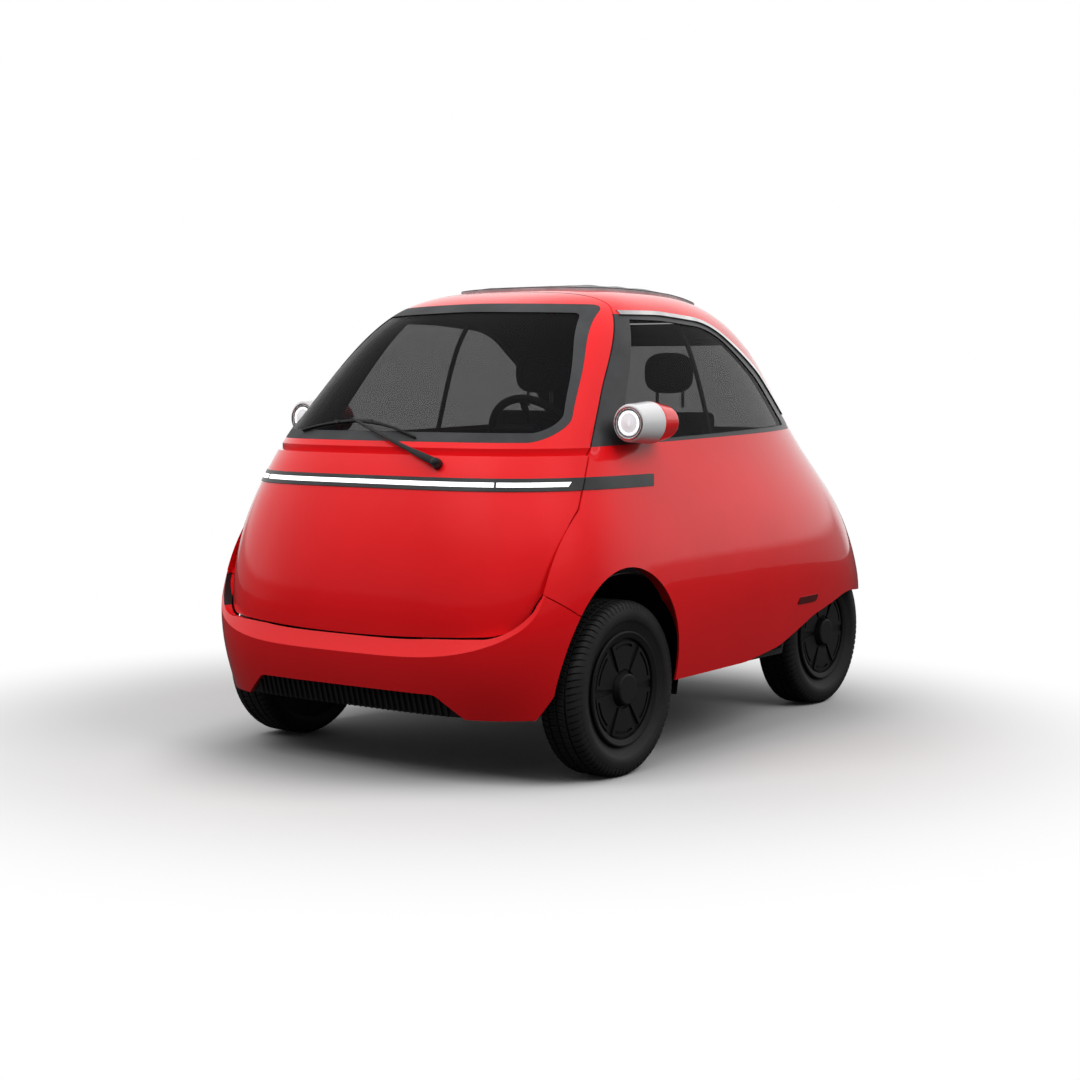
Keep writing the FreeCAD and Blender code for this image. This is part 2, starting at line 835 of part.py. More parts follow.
def wheels():
    parts = {}
    tyre, wheel = tyre_shape(), wheel_shape()
    for name, side in (("left", 1), ("right", -1)):
        for end, y, track in (("front", front_axle_y, front_track), ("rear", rear_axle_y, rear_track)):
            parts["tyre_%s_%s" % (end, name)] = placed(tyre, side * track / 2, y, side)
            parts["wheel_%s_%s" % (end, name)] = placed(wheel, side * track / 2, y, side)
    return parts


def spring_coil(start, along, length):
    """An open coil round the strut."""
    coil = Part.makeHelix(spring_pitch, length, spring_radius)
    section = Part.Wire([Part.makeCircle(spring_wire, Vector(spring_radius, 0, 0), Vector(0, 1, 0))])
    solid = Part.Wire(coil.Edges).makePipeShell([section], True, True)
    solid.Placement = FreeCAD.Placement(start, FreeCAD.Rotation(Vector(0, 0, 1), along))
    return solid


def knuckle_shape():
    """The left front upright with its stub axle and strut, along the kingpin line."""
    line = kingpin_head - kingpin_foot
    along = Vector(line).normalize()
    centre = Vector(front_track / 2, front_axle_y, tyre_radius)
    inboard = Vector(centre.x - 60, centre.y, centre.z)
    stub = rod(inboard, centre + Vector(stub_reach, 0, 0), stub_radius)
    disc = Part.makeCylinder(112, 9, centre - Vector(42, 0, 0), Vector(1, 0, 0))
    carrier = Part.makeCylinder(44, 24, centre - Vector(66, 0, 0), Vector(1, 0, 0))
    neck = rod(centre - Vector(98, 0, 0), centre - Vector(60, 0, 0), 24)
    foot = rod(kingpin_foot, kingpin_foot + along * 130, 16)
    tube = rod(kingpin_foot + along * 100, kingpin_foot + along * 330, 20)
    piston = rod(kingpin_foot + along * 320, kingpin_head - along * seat_gap, 9)
    spring_start = 258
    seat = rod(kingpin_foot + along * (spring_start - 6), kingpin_foot + along * spring_start, 40)
    arm = rod(centre - Vector(62, 0, 0), centre + Vector(-80, 96, -48), 11)
    coil_length = line.Length - spring_start - 2 * spring_wire - 2 * seat_gap
    coil_start = kingpin_foot + along * (spring_start + spring_wire + seat_gap)
    coil = spring_coil(coil_start, along, coil_length)
    return Part.Compound([stub.fuse([disc, carrier, neck, foot, tube, piston, seat, arm]), coil])


def subframe_shape():
    """The front crossmember with its lower arms and steering rack."""
    foot = kingpin_foot
    beam = block(-300, 300, front_axle_y - 40, front_axle_y + 60, 190, 244)
    rack_y = front_axle_y + 104
    rack = rod(Vector(-330, rack_y, 226), Vector(330, rack_y, 226), 18)
    arms = []
    for y in (front_axle_y - 90, front_axle_y + 90):
        arms.append(rod(Vector(260, y, 205), foot + Vector(-2, 0, -16 - seat_gap), 13))
    ball_top = foot - Vector(0, 0, kingpin_drop + seat_gap)
    joint = Part.makeCylinder(24, 15, ball_top - Vector(0, 0, 15), Vector(0, 0, 1))
    rail = block(230, 300, front_axle_y - 120, front_axle_y + 125, 196, floor_height)
    left = joint.fuse(arms + [rail])
    left = left.cut(Part.makeCylinder(30, 40, ball_top, Vector(0, 0, 1)))
    return beam.fuse([left, mirrored(left), rack])


def rear_axle_shape():
    """A tube between the hubs, trailing arms forward to the floor, and dampers."""
    reach = rear_track / 2
    level = Vector(0, rear_axle_y, tyre_radius)

    def at(x, y, z):
        return level + Vector(x, y, z)

    tube = rod(at(-reach + 92, 0, 0), at(reach - 92, 0, 0), 30)
    stub = rod(at(-reach - stub_reach, 0, 0), at(reach + stub_reach, 0, 0), stub_radius)
    drum = Part.makeCylinder(88, 22, at(reach - 62, 0, 0), Vector(1, 0, 0))
    hub = rod(at(reach - 132, 0, 0), at(reach - 48, 0, 0), 34)
    trailing = rod(at(reach - 106, 0, 0), Vector(reach - 130, 290, floor_height + 9), 19)
    foot_y = rear_wall_y + 14 + 2 * seat_gap
    foot = block(reach - 160, reach - 100, foot_y, foot_y + 50, floor_height, floor_height + 34)
    damper = rod(at(reach - 108, 26, 0), Vector(reach - 140, rear_axle_y + 60, deck_height - seat_gap), 20)
    half = drum.fuse([hub, trailing, foot, damper])
    shape = tube.fuse([stub, half, mirrored(half)])
    return shape.cut(block(-700, 700, -900, 1400, deck_height - seat_gap, deck_height + 60))


def running_gear():
    parts = {}
    knuckle = knuckle_shape()
    parts["knuckle_left"] = knuckle
    parts["knuckle_right"] = Part.Compound(mirrored(knuckle).Solids)
    parts["front_subframe"] = subframe_shape()
    parts["rear_axle"] = rear_axle_shape()
    motor = rounded_block(-130, 150, rear_axle_y + 30 + seat_gap, rear_axle_y + 190, 170, 400, 12)
    parts["motor_block"] = motor
    return parts


def floor_and_liners():
    """Floor pan, front wheelhouses, rear wall and luggage deck."""
    parts = {}
    low = floor_height + floor_thickness
    inner = body_solid(body_rows, wall + seat_gap, 90)
    floor = block(-800, 800, -1120, rear_wall_y, floor_height, low)
    floor = inner.common(floor).cut(wheelhouse_zone(seat_gap))
    pad = block(jack_x - 40, jack_x + 40, jack_y - 60, jack_y + 60, floor_height - jack_drop, low)
    parts["floor_pan"] = floor.fuse([pad, mirrored(pad)])
    liner = wheelhouse_zone(0).cut(wheelhouse_zone(-wheelhouse_wall)).common(inner)
    liner = liner.cut(block(-900, 900, -1400, 1400, 0, lower_edge[0][1] - 57))
    liner = liner.cut(door_region(-12)).cut(block(-900, 900, -1400, arch_y - 290, 0, 1000))
    line = kingpin_head - kingpin_foot
    mount = rod(kingpin_head, kingpin_head + Vector(line).normalize() * 26, 44)
    liner = liner.fuse([mount, mirrored(mount)])
    parts["front_wheelhouses"] = liner
    wall_and_deck = prism_x(
        (
            (rear_wall_y, floor_height, 0),
            (rear_wall_y, 760, 0),
            (rear_wall_y + 14, 760, 0),
            (rear_wall_y + 14, deck_height + 14, 0),
            (1180, deck_height + 14, 0),
            (1180, deck_height, 0),
            (rear_wall_y + 14, deck_height, 0),
            (rear_wall_y + 14, floor_height, 0),
        ),
        -800,
        800,
    )
    wall_and_deck.translate(Vector(0, seat_gap, 0))
    top = deck_height + 14
    mat = block(-mat_half_width, mat_half_width, rear_wall_y + 40, mat_rear, top - 2, top + mat_height)
    parts["rear_bulkhead"] = wall_and_deck.common(inner).fuse(mat)
    return parts


def seats():
    parts = {}
    low = floor_height + floor_thickness
    cushion_low = battery_height + low + seat_gap
    cushion_high = cushion_low + 136
    battery = rounded_block(-400, 400, seat_front + 60, rear_wall_y - 40, low, low + battery_height, 8)
    parts["battery_block"] = battery
    cushion = rounded_block(-470, 470, seat_front, seat_back_y, cushion_low, cushion_high, 40)
    parts["seat_base"] = cushion
    back = prism_x(
        (
            (seat_back_y - 100, cushion_high + seat_gap, 40),
            (seat_back_y + 20, cushion_high + seat_gap, 40),
            (seat_back_y + 92, seat_top, 30),
            (seat_back_y + 8, seat_top, 30),
        ),
        -462,
        462,
    )
    parts["seat_back"] = back
    post_y = seat_back_y + 50
    head = rounded_block(165, 395, post_y - 50, post_y + 34, seat_top + 42, seat_top + 196, 36)
    posts = []
    for x in (228, 332):
        posts.append(rod(Vector(x, post_y, seat_top + seat_gap), Vector(x, post_y, seat_top + 60), 6))
    parts["head_restraints"] = both_sides(head.fuse(posts))
    return parts


def steering():
    parts = {}
    tilt = math.radians(steering_tilt)
    axis = Vector(0, -math.cos(tilt), -math.sin(tilt))
    rim = Part.makeTorus(steering_radius, 13, steering_centre, axis)
    hub = Part.makeCylinder(52, 40, steering_centre - axis * 10, axis)
    across = Vector(1, 0, 0)
    down = axis.cross(across)
    spokes = []
    for direction in (across, across * -1, down):
        spokes.append(rod(steering_centre, steering_centre + direction * (steering_radius - 4), 11))
    parts["steering_wheel"] = rim.fuse([hub] + spokes)
    start = steering_centre + axis * (30 + seat_gap)
    elbow = start + axis * 190
    foot = Vector(elbow.x, elbow.y - 60, floor_height + floor_thickness)
    shaft = rod(elbow, foot, 20)
    boss = Part.makeCylinder(46, 16, foot, Vector(0, 0, 1))
    knuckle = Part.makeSphere(27, elbow)
    pod = rounded_block(-gauge_half, gauge_half, -16, 16, 0, gauge_height, 10)
    pod.rotate(Vector(0, 0, 0), Vector(1, 0, 0), steering_tilt)
    pod.translate(start + axis * 45 + Vector(0, 0, 12))
    column = rod(start, elbow, 26).fuse([shaft, boss, knuckle, pod])
    under = block(-900, 900, -1400, 1400, 0, floor_height + floor_thickness)
    parts["steering_column"] = column.cut(under)
    bar = block(-620, 620, -1000, -900, liner_top + 6, liner_top + 44)
    parts["dashboard"] = bar.common(body_solid(door_rows(), wall + seat_gap, 90)).common(door_region(30))
    return parts


def wheelhouse_zone(grow):
    """The space a front wheel swings in, as two solids; grow is negative for the liner's inside."""
    radius = arch_radius + wheelhouse_wall + grow
    inner = wheelhouse_inner - grow
    tube = Part.makeCylinder(radius, 900 - inner, Vector(inner, arch_y, arch_z), Vector(1, 0, 0))
    foot = block(inner, 900, arch_y - radius, arch_y + radius, 0, arch_z)
    zone = tube.fuse(foot)
    return zone.fuse(mirrored(zone))


def fittings():
    parts = {}
    centre = pod_centre
    start = centre.y - pod_length / 3
    pod = outline_face(
        (
            (start, 0, 0),
            (start, pod_radius - 8, 8),
            (start + 110, pod_radius, 60),
            (start + pod_length - 24, pod_radius - 16, 40),
            (start + pod_length, 0, 0),
        ),
        lambda p: Vector(centre.x, p.x, centre.z + p.y),
    ).revolve(centre, Vector(0, 1, 0), 360)
    lamp_room = block(0, 900, -1400, pod_split, 900, 1200)
    arm_y = pod_split + 18
    root = Vector(centre.x - 140, arm_y, centre.z - 60)
    arm = rod(Vector(centre.x - 20, arm_y, centre.z - 36), root, 16)
    arm = arm.cut(body_solid(body_rows, -seat_gap))
    parts["mirrors"] = both_sides(pod.cut(lamp_room).fuse(arm))
    lamp = pod.common(lamp_room)
    mouth = Vector(centre.x, start, centre.z)
    recess = Part.makeCylinder(lens_radius + seat_gap, lens_depth, mouth, Vector(0, 1, 0))
    parts["headlamps"] = both_sides(lamp.cut(recess))
    parts["headlamp_lenses"] = both_sides(lens_shape(start))
    marker = layer(body_rows, -side_marker_proud, -seat_gap, prism_x(side_marker, 100, 900))
    parts["side_markers"] = both_sides(marker)
    parts["wiper"] = wiper_shape()
    parts["opening_seals"] = opening_seals()
    return parts


def lens_shape(front):
    """A headlamp's domed glass."""
    centre = pod_centre
    disc = outline_face(
        (
            (front + lens_depth - seat_gap, 0, 0),
            (front + lens_depth - seat_gap, lens_radius, 0),
            (front + 2, lens_radius, 3),
            (front - lens_bulge, 0, 0),
        ),
        lambda p: Vector(centre.x, p.x, centre.z + p.y),
    )
    return disc.revolve(centre, Vector(0, 1, 0), 360)


def wiper_shape():
    """The wiper's pivot, arm and blade, following the door's and the windscreen's surface."""
    pivot_x, pivot_z = wiper_pivot
    pivot = surface_point(door_rows(), -seat_gap, pivot_x, pivot_z)
    sideways = surface_point(door_rows(), -seat_gap, pivot_x + 10, pivot_z) - pivot
    upward = surface_point(door_rows(), -seat_gap, pivot_x, pivot_z + 10) - pivot
    out = upward.cross(sideways).normalize()
    if out.y > 0:
        out = out * -1
    post = Part.makeCylinder(17, 30, pivot, out).cut(body_solid(door_rows(), -seat_gap))
    (left, middle, right) = blade_points
    places = [Vector(x, -1400, z) for x, z in blade_points]
    low = [p - Vector(0, 0, blade_width) for p in places]
    edges = [
        Part.Arc(places[0], places[1], places[2]).toShape(),
        Part.LineSegment(places[2], low[2]).toShape(),
        Part.Arc(low[2], low[1], low[0]).toShape(),
        Part.LineSegment(low[0], places[0]).toShape(),
    ]
    blade_zone = Part.Face(Part.Wire(edges)).extrude(Vector(0, 1000, 0))
    blade = layer(body_rows, -15, -seat_gap, blade_zone)
    points = (
        (pivot_x + 9, pivot_z + 11, 0),
        (pivot_x - 9, pivot_z - 11, 0),
        (middle[0] - 6, middle[1] - blade_width, 0),
        (middle[0] + 6, middle[1] + 4, 0),
    )
    arm = layer(body_rows, -26, -13, prism_y(points, -1400, -700))
    return post.fuse([arm, blade])


def opening_seals():
    """Rubber strips on the body's edges that the closed door and tailgate rest against."""
    reach = panel_gap - seat_gap
    door_zone = door_region(0).cut(door_region(reach))
    door_zone = door_zone.common(block(-900, 900, -1400, 0, 620, 1600))
    door_seal = layer(body_rows, 14, 26, door_zone)
    gate_zone = gate_prism(0).cut(gate_prism(gate_gap - seat_gap))
    gate_zone = gate_zone.common(block(-420, 420, 400, 1400, 0, gate_bottom + gate_gap - seat_gap))
    gate_seal = layer(body_rows, 14, 26, gate_zone)
    return Part.Compound(door_seal.Solids + gate_seal.Solids)


def build():
    parts = {}
    for group in (
        shell_panels,
        door_panels,
        side_glass,
        tail_panels,
        roof_and_grille,
        wheels,
        running_gear,
        floor_and_liners,
        seats,
        steering,
        fittings,
    ):
        parts.update(group())
    return parts


def write(parts):
    os.makedirs("parts", exist_ok=True)
    for name, shape in sorted(parts.items()):
        solids = [s for s in shape.Solids if s.Volume > 50]
        made = solids[0] if len(solids) == 1 else Part.Compound(solids)
        made.exportStep("parts/%s.step" % name)
        state = "valid" if made.isValid() else "INVALID"
        print(name, [round(s.Volume / 1000) for s in solids], state)


write(build())
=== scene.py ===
import bpy
import bmesh
import math
import numpy as np
from mathutils import Matrix, Vector
from mathutils.bvhtree import BVHTree


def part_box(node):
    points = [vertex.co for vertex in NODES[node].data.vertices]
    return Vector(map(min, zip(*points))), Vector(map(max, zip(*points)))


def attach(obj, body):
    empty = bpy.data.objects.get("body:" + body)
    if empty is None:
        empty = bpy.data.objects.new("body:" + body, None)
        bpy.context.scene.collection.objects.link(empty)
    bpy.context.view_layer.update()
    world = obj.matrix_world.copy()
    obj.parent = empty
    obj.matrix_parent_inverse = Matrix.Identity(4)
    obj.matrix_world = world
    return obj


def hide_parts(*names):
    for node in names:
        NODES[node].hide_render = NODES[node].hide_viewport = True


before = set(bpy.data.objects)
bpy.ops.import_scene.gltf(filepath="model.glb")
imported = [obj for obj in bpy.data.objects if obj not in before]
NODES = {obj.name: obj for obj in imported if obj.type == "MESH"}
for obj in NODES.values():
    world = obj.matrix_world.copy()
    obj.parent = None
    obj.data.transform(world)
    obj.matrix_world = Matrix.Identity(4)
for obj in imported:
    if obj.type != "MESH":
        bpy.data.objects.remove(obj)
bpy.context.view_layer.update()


# ---- Materials
def new_material(name):
    mat = bpy.data.materials.new(name)
    mat.use_nodes = True
    nodes, links = mat.node_tree.nodes, mat.node_tree.links
    return mat, nodes, links, nodes["Principled BSDF"]


def noise(nodes, scale, detail=4.0, rough=0.55):
    tex = nodes.new("ShaderNodeTexNoise")
    tex.inputs["Scale"].default_value = scale
    tex.inputs["Detail"].default_value = detail
    tex.inputs["Roughness"].default_value = rough
    return tex


def map_range(nodes, links, source, low, high, to=(0.0, 1.0), smooth=True):
    node = nodes.new("ShaderNodeMapRange")
    if smooth:
        node.interpolation_type = "SMOOTHSTEP"
    node.inputs["From Min"].default_value = low
    node.inputs["From Max"].default_value = high
    node.inputs["To Min"].default_value, node.inputs["To Max"].default_value = to
    links.new(source, node.inputs["Value"])
    return node.outputs["Result"]


def fill_inputs(links, sockets, terms):
    """Each term is a number or another node's output."""
    for socket, term in zip(sockets, terms):
        if isinstance(term, float):
            socket.default_value = term
        else:
            links.new(term, socket)


def reckon(nodes, links, operation, *terms):
    node = nodes.new("ShaderNodeMath")
    node.operation = operation
    fill_inputs(links, node.inputs, terms)
    return node.outputs["Value"]


def between(nodes, links, share, low, high):
    node = nodes.new("ShaderNodeMix")
    node.data_type = "FLOAT"
    fill_inputs(links, (node.inputs[0], node.inputs[2], node.inputs[3]), (share, low, high))
    return node.outputs[0]


def coords(nodes, links, tex):
    where = nodes.new("ShaderNodeTexCoord")
    links.new(where.outputs["Object"], tex.inputs["Vector"])


def bump(nodes, links, height, bsdf, strength, distance, socket="Normal"):
    b = nodes.new("ShaderNodeBump")
    b.inputs["Strength"].default_value = strength
    b.inputs["Distance"].default_value = distance
    links.new(height, b.inputs["Height"])
    links.new(b.outputs["Normal"], bsdf.inputs[socket])


def grey(value):
    return value, value, value, 1


def ramp(nodes, links, source, stops):
    r = nodes.new("ShaderNodeValToRGB")
    r.color_ramp.elements[0].position = stops[0][0]
    r.color_ramp.elements[0].color = stops[0][1]
    r.color_ramp.elements[1].position = stops[-1][0]
    r.color_ramp.elements[1].color = stops[-1][1]
    for pos, col in stops[1:-1]:
        e = r.color_ramp.elements.new(pos)
        e.color = col
    links.new(source, r.inputs["Fac"])
    return r


def paint(name, color, dark):
    """Two-coat car paint: a faint cloud in the base, fine flake, and a clear coat with orange peel."""
    mat, nodes, links, bsdf = new_material(name)
    cloud = noise(nodes, 3.0, 2.0)
    coords(nodes, links, cloud)
    col = ramp(nodes, links, cloud.outputs["Fac"], [(0.3, (*dark, 1)), (0.7, (*color, 1))])
    links.new(col.outputs["Color"], bsdf.inputs["Base Color"])
    fine = noise(nodes, 900.0, 2.0)
    coords(nodes, links, fine)
    rough = ramp(nodes, links, fine.outputs["Fac"], [(0.3, grey(0.30)), (0.7, grey(0.42))])
    links.new(rough.outputs["Color"], bsdf.inputs["Roughness"])
    bsdf.inputs["Specular IOR Level"].default_value = 0.15
    bsdf.inputs["Coat Weight"].default_value = 1.0
    bsdf.inputs["Coat Roughness"].default_value = 0.035
    bsdf.inputs["Coat IOR"].default_value = 1.4
    peel = noise(nodes, 260.0, 2.0, 0.4)
    coords(nodes, links, peel)
    bump(nodes, links, peel.outputs["Fac"], bsdf, 0.03, 0.0004, "Coat Normal")
    return mat


def plastic(name, color, rough, grain=650.0, depth=0.25, spread=0.08):
    mat, nodes, links, bsdf = new_material(name)
    tex = noise(nodes, grain, 3.0)
    coords(nodes, links, tex)
    large = noise(nodes, 9.0, 3.0)
    coords(nodes, links, large)
    lo = tuple(c * 0.82 for c in color)
    hi = tuple(min(1.0, c * 1.2) for c in color)
    col = ramp(nodes, links, large.outputs["Fac"], [(0.35, (*lo, 1)), (0.65, (*hi, 1))])
    links.new(col.outputs["Color"], bsdf.inputs["Base Color"])
    a, b = max(0.02, rough - spread), min(1.0, rough + spread)
    r = ramp(nodes, links, tex.outputs["Fac"], [(0.3, grey(a)), (0.7, grey(b))])
    links.new(r.outputs["Color"], bsdf.inputs["Roughness"])
    bump(nodes, links, tex.outputs["Fac"], bsdf, depth, 0.0006)
    return mat


def metal(name, color, rough, grain=300.0, depth=0.05):
    mat = plastic(name, color, rough, grain, depth, 0.04)
    mat.node_tree.nodes["Principled BSDF"].inputs["Metallic"].default_value = 1.0
    return mat


def glass(name, color, alpha, rough=0.02):
    mat, nodes, links, bsdf = new_material(name)
    haze = noise(nodes, 6.0, 2.0)
    coords(nodes, links, haze)
    lo = tuple(c * 0.9 for c in color)
    col = ramp(nodes, links, haze.outputs["Fac"], [(0.3, (*lo, 1)), (0.7, (*color, 1))])
    links.new(col.outputs["Color"], bsdf.inputs["Base Color"])
    bsdf.inputs["Roughness"].default_value = rough
    bsdf.inputs["Alpha"].default_value = alpha
    bsdf.inputs["Specular IOR Level"].default_value = 0.05
    return mat


def emissive(name, color, strength):
    mat, nodes, links, bsdf = new_material(name)
    bsdf.inputs["Base Color"].default_value = (*color, 1)
    ribs = nodes.new("ShaderNodeTexWave")
    ribs.inputs["Scale"].default_value = 120.0
    coords(nodes, links, ribs)
    bump(nodes, links, ribs.outputs["Fac"], bsdf, 0.1, 0.0005)
    bsdf.inputs["Emission Color"].default_value = (*color, 1)
    bsdf.inputs["Emission Strength"].default_value = strength
    bsdf.inputs["Roughness"].default_value = 0.15
    return mat


M = {
    "paint": paint("red_paint", (0.76, 0.006, 0.010), (0.70, 0.005, 0.008)),
    "trim": plastic("dark_trim", (0.030, 0.031, 0.033), 0.34, 700.0, 0.10),
    "ring": plastic("screen_surround", (0.040, 0.041, 0.043), 0.70, 700.0, 0.10),
    "black": plastic("black_plastic", (0.010, 0.010, 0.011), 0.42),
    "seal": plastic("seal_rubber", (0.008, 0.008, 0.009), 0.6),
    "glass": glass("screen_glass", (0.010, 0.010, 0.011), 0.46),
    "side_glass": glass("side_glass", (0.010, 0.010, 0.011), 0.47),
    "led": emissive("led_white", (0.95, 0.97, 1.0), 1.1),
    "lens": emissive("lamp_lens", (0.62, 0.63, 0.65), 0.45),
    "red_lamp": emissive("lamp_red", (0.5, 0.004, 0.006), 0.25),
    "marker": plastic("marker_lens", (0.085, 0.006, 0.006), 0.16, 160.0, 0.10, 0.05),
    "chrome": metal("chrome", (0.86, 0.86, 0.87), 0.07),
    "satin": paint("silver_paint", (0.66, 0.66, 0.67), (0.60, 0.60, 0.61)),
    "pan": plastic("underbody", (0.030, 0.030, 0.031), 0.7, 240.0, 0.4),
    "alloy": metal("cast_alloy", (0.42, 0.42, 0.43), 0.42, 420.0, 0.3),
    "steel": plastic("painted_steel", (0.03, 0.03, 0.032), 0.45, 500.0, 0.15),
    "rubber": plastic("tyre_rubber", (0.014, 0.014, 0.015), 0.60, 520.0, 0.20),
    "cover": plastic("wheel_cover", (0.0045, 0.0045, 0.005), 0.52, 640.0, 0.10),
    "fabric": plastic("seat_fabric", (0.026, 0.026, 0.029), 0.85, 1400.0, 0.5),
    "frame": plastic("roof_frame", (0.30, 0.30, 0.31), 0.30, 700.0, 0.05),
    "canvas": plastic("roof_canvas", (0.012, 0.012, 0.013), 0.30, 1700.0, 0.06),
    "grip": plastic("wheel_grip", (0.012, 0.012, 0.013), 0.5, 900.0, 0.3),
    "lining": plastic("cabin_lining", (0.020, 0.020, 0.021), 0.75, 900.0, 0.3),
    "liner": plastic("door_card", (0.028, 0.028, 0.030), 0.6, 800.0, 0.3),
}
WEAR = {
    "paint": [
        "front_bumper", "side_panel_left", "side_panel_right", "roof_panel",
        "rear_bumper", "front_door", "tailgate", "mirrors",
    ],
    "trim": ["window_trims", "rear_window_seal", "light_bar", "side_strips", "window_bars"],
    "black": ["grille", "dashboard", "front_wheelhouses", "steering_column", "rear_plate_holder"],
    "ring": ["windscreen_seal"],
    "seal": ["opening_seals"],
    "glass": ["windscreen", "rear_window"],
    "side_glass": ["side_windows"],
    "led": ["light_bar_lens"],
    "lens": ["headlamp_lenses"],
    "red_lamp": ["rear_lamp_bar"],
    "marker": ["side_markers"],
    "chrome": ["drip_rails"],
    "satin": ["headlamps"],
    "pan": ["floor_pan", "rear_bulkhead"],
    "alloy": ["motor_block", "battery_block"],
    "steel": ["rear_axle", "front_subframe", "knuckle_left", "knuckle_right"],
    "cover": ["wheel_front_left", "wheel_front_right", "wheel_rear_left", "wheel_rear_right"],
    "frame": ["sunroof"],
    "grip": ["steering_wheel"],
    "liner": ["door_liner"],
}


# ---- The body's smooth surface, which tells the panels' inner faces and seats the wiper
# height, front, half width, rear, station of the widest point, front exponent, rear exponent, door's set-back
BODY_ROWS = (
    (206, -1215, 700, 1216, -350, 4.9, 3.5, 34),
    (290, -1243, 718, 1240, -350, 4.8, 3.5, 34),
    (400, -1265, 738, 1256, -350, 4.6, 3.5, 34),
    (520, -1262, 747, 1208, -350, 4.4, 3.4, 30),
    (640, -1226, 738, 1158, -350, 4.3, 3.3, 16),
    (760, -1176, 704, 1100, -350, 4.3, 3.2, 4),
    (880, -1124, 657, 1010, -350, 4.3, 3.0, 0),
    (1000, -1066, 610, 912, -350, 4.2, 2.9, 0),
    (1120, -955, 580, 830, -340, 3.9, 2.8, 0),
    (1230, -842, 548, 742, -320, 3.7, 2.8, 0),
    (1330, -735, 510, 635, -300, 3.5, 2.8, 0),
    (1405, -640, 462, 525, -280, 3.3, 2.7, 0),
    (1455, -545, 400, 415, -250, 3.1, 2.6, 0),
    (1482, -430, 320, 305, -220, 2.9, 2.6, 0),
    (1493, -300, 220, 180, -180, 2.8, 2.6, 0),
)


def ring_poles(row, set_back, count=40):
    height, front, half, rear, widest, front_power, rear_power, back = row
    front, half = front + back * set_back, half - back * set_back
    ring = []
    for j in range(count):
        angle = math.pi + 2 * math.pi * j / count
        across, ahead = math.sin(angle), math.cos(angle)
        power = front_power if ahead > 0 else rear_power
        reach = widest - front if ahead > 0 else rear - widest
        grow = (abs(across) ** power + abs(ahead) ** power) ** (-1 / power)
        ring.append((half * grow * across, widest - reach * grow * ahead, height))
    return ring


def spline_weights(t, knots, count):
    """Weights of a cubic spline's control points at t, by the recursion on its knots."""
    n = len(knots) - 1
    low = [1.0 if knots[i] <= t < knots[i + 1] else 0.0 for i in range(n)]
    for degree in (1, 2, 3):
        nxt = []
        for i in range(n - degree):
            w = 0.0
            if knots[i + degree] > knots[i]:
                w += (t - knots[i]) / (knots[i + degree] - knots[i]) * low[i]
            end = knots[i + degree + 1]
            if end > knots[i + 1]:
                w += (end - t) / (end - knots[i + 1]) * low[i + 1]
            nxt.append(w)
        low = nxt
    return low[:count]


def ring_faces(rings, count):
    """Faces between closed rings of points, each ring after the one before."""
    faces = []
    for i in range(rings - 1):
        for j in range(count):
            k = (j + 1) % count
            faces.append((i * count + j, i * count + k, (i + 1) * count + k, (i + 1) * count + j))
    return faces


def ring_ends(rings, count):
    return [tuple(range(count)), tuple((rings - 1) * count + k for k in range(count))]


def smooth_body(name, set_back, steps=8):
    """A fine mesh of the painted surface, to measure from. It isn't shown."""
    poles = np.array([ring_poles(row, set_back) for row in BODY_ROWS]) / 1000.0
    rows, cols = poles.shape[:2]
    knots = [0] * 4 + list(range(1, rows - 3)) + [rows - 3] * 4
    ts = np.linspace(0, rows - 3, (rows - 3) * steps + 1)
    ts[-1] -= 1e-9
    up = np.array([spline_weights(t, knots, rows) for t in ts])
    ring_knots = list(range(-3, cols + 7))
    us = np.linspace(0, cols, cols * steps, endpoint=False)
    around = np.zeros((len(us), cols))
    for k, u in enumerate(us):
        for i, w in enumerate(spline_weights(u, ring_knots, cols + 3)):
            around[k, i % cols] += w
    grid = np.einsum("ai,ijc,bj->abc", up, poles, around)
    a, b = grid.shape[:2]
    verts = grid.reshape(-1, 3)
    mesh = bpy.data.meshes.new(name)
    mesh.from_pydata(verts.tolist(), [], ring_faces(a, b))
    bm = bmesh.new()
    bm.from_mesh(mesh)
    bmesh.ops.recalc_face_normals(bm, faces=bm.faces)
    bm.faces.ensure_lookup_table()
    side = max(bm.faces, key=lambda f: f.calc_center_median().x)
    if side.normal.x < 0:
        bmesh.ops.reverse_faces(bm, faces=bm.faces)
    bm.to_mesh(mesh)
    bm.free()
    mesh.shade_smooth()
    obj = bpy.data.objects.new(name, mesh)
    bpy.context.scene.collection.objects.link(obj)
    obj.hide_render = True
    obj.hide_viewport = True
    return obj


for key, names in WEAR.items():
    for n in names:
        node = NODES[n]
        node.data.materials.clear()
        node.data.materials.append(M[key])
body_surface = smooth_body("body_surface", 0)
door_surface = smooth_body("door_surface", 1)


def search_tree(surface):
    mesh = surface.data
    points = [v.co.copy() for v in mesh.vertices]
    return BVHTree.FromPolygons(points, [tuple(p.vertices) for p in mesh.polygons])


def line_inside(node, surface, turned=-2.0, depth=0.006):
    """The inner faces of a painted panel get the dark lining, except where the skin faces the front."""
    tree = search_tree(surface)
    node.data.materials.append(M["lining"])
    for face in node.data.polygons:
        place, out, _, _ = tree.find_nearest(face.center)
        behind = (place - face.center).dot(out)
        if behind > depth and face.normal.dot(out) < -0.3 and out.y > turned:
            face.material_index = 1


for n in ("side_panel_left", "side_panel_right"):
    line_inside(NODES[n], body_surface, -0.4)
for n in ("roof_panel", "rear_bumper", "front_bumper", "tailgate"):
    line_inside(NODES[n], body_surface)
line_inside(NODES["front_door"], door_surface)


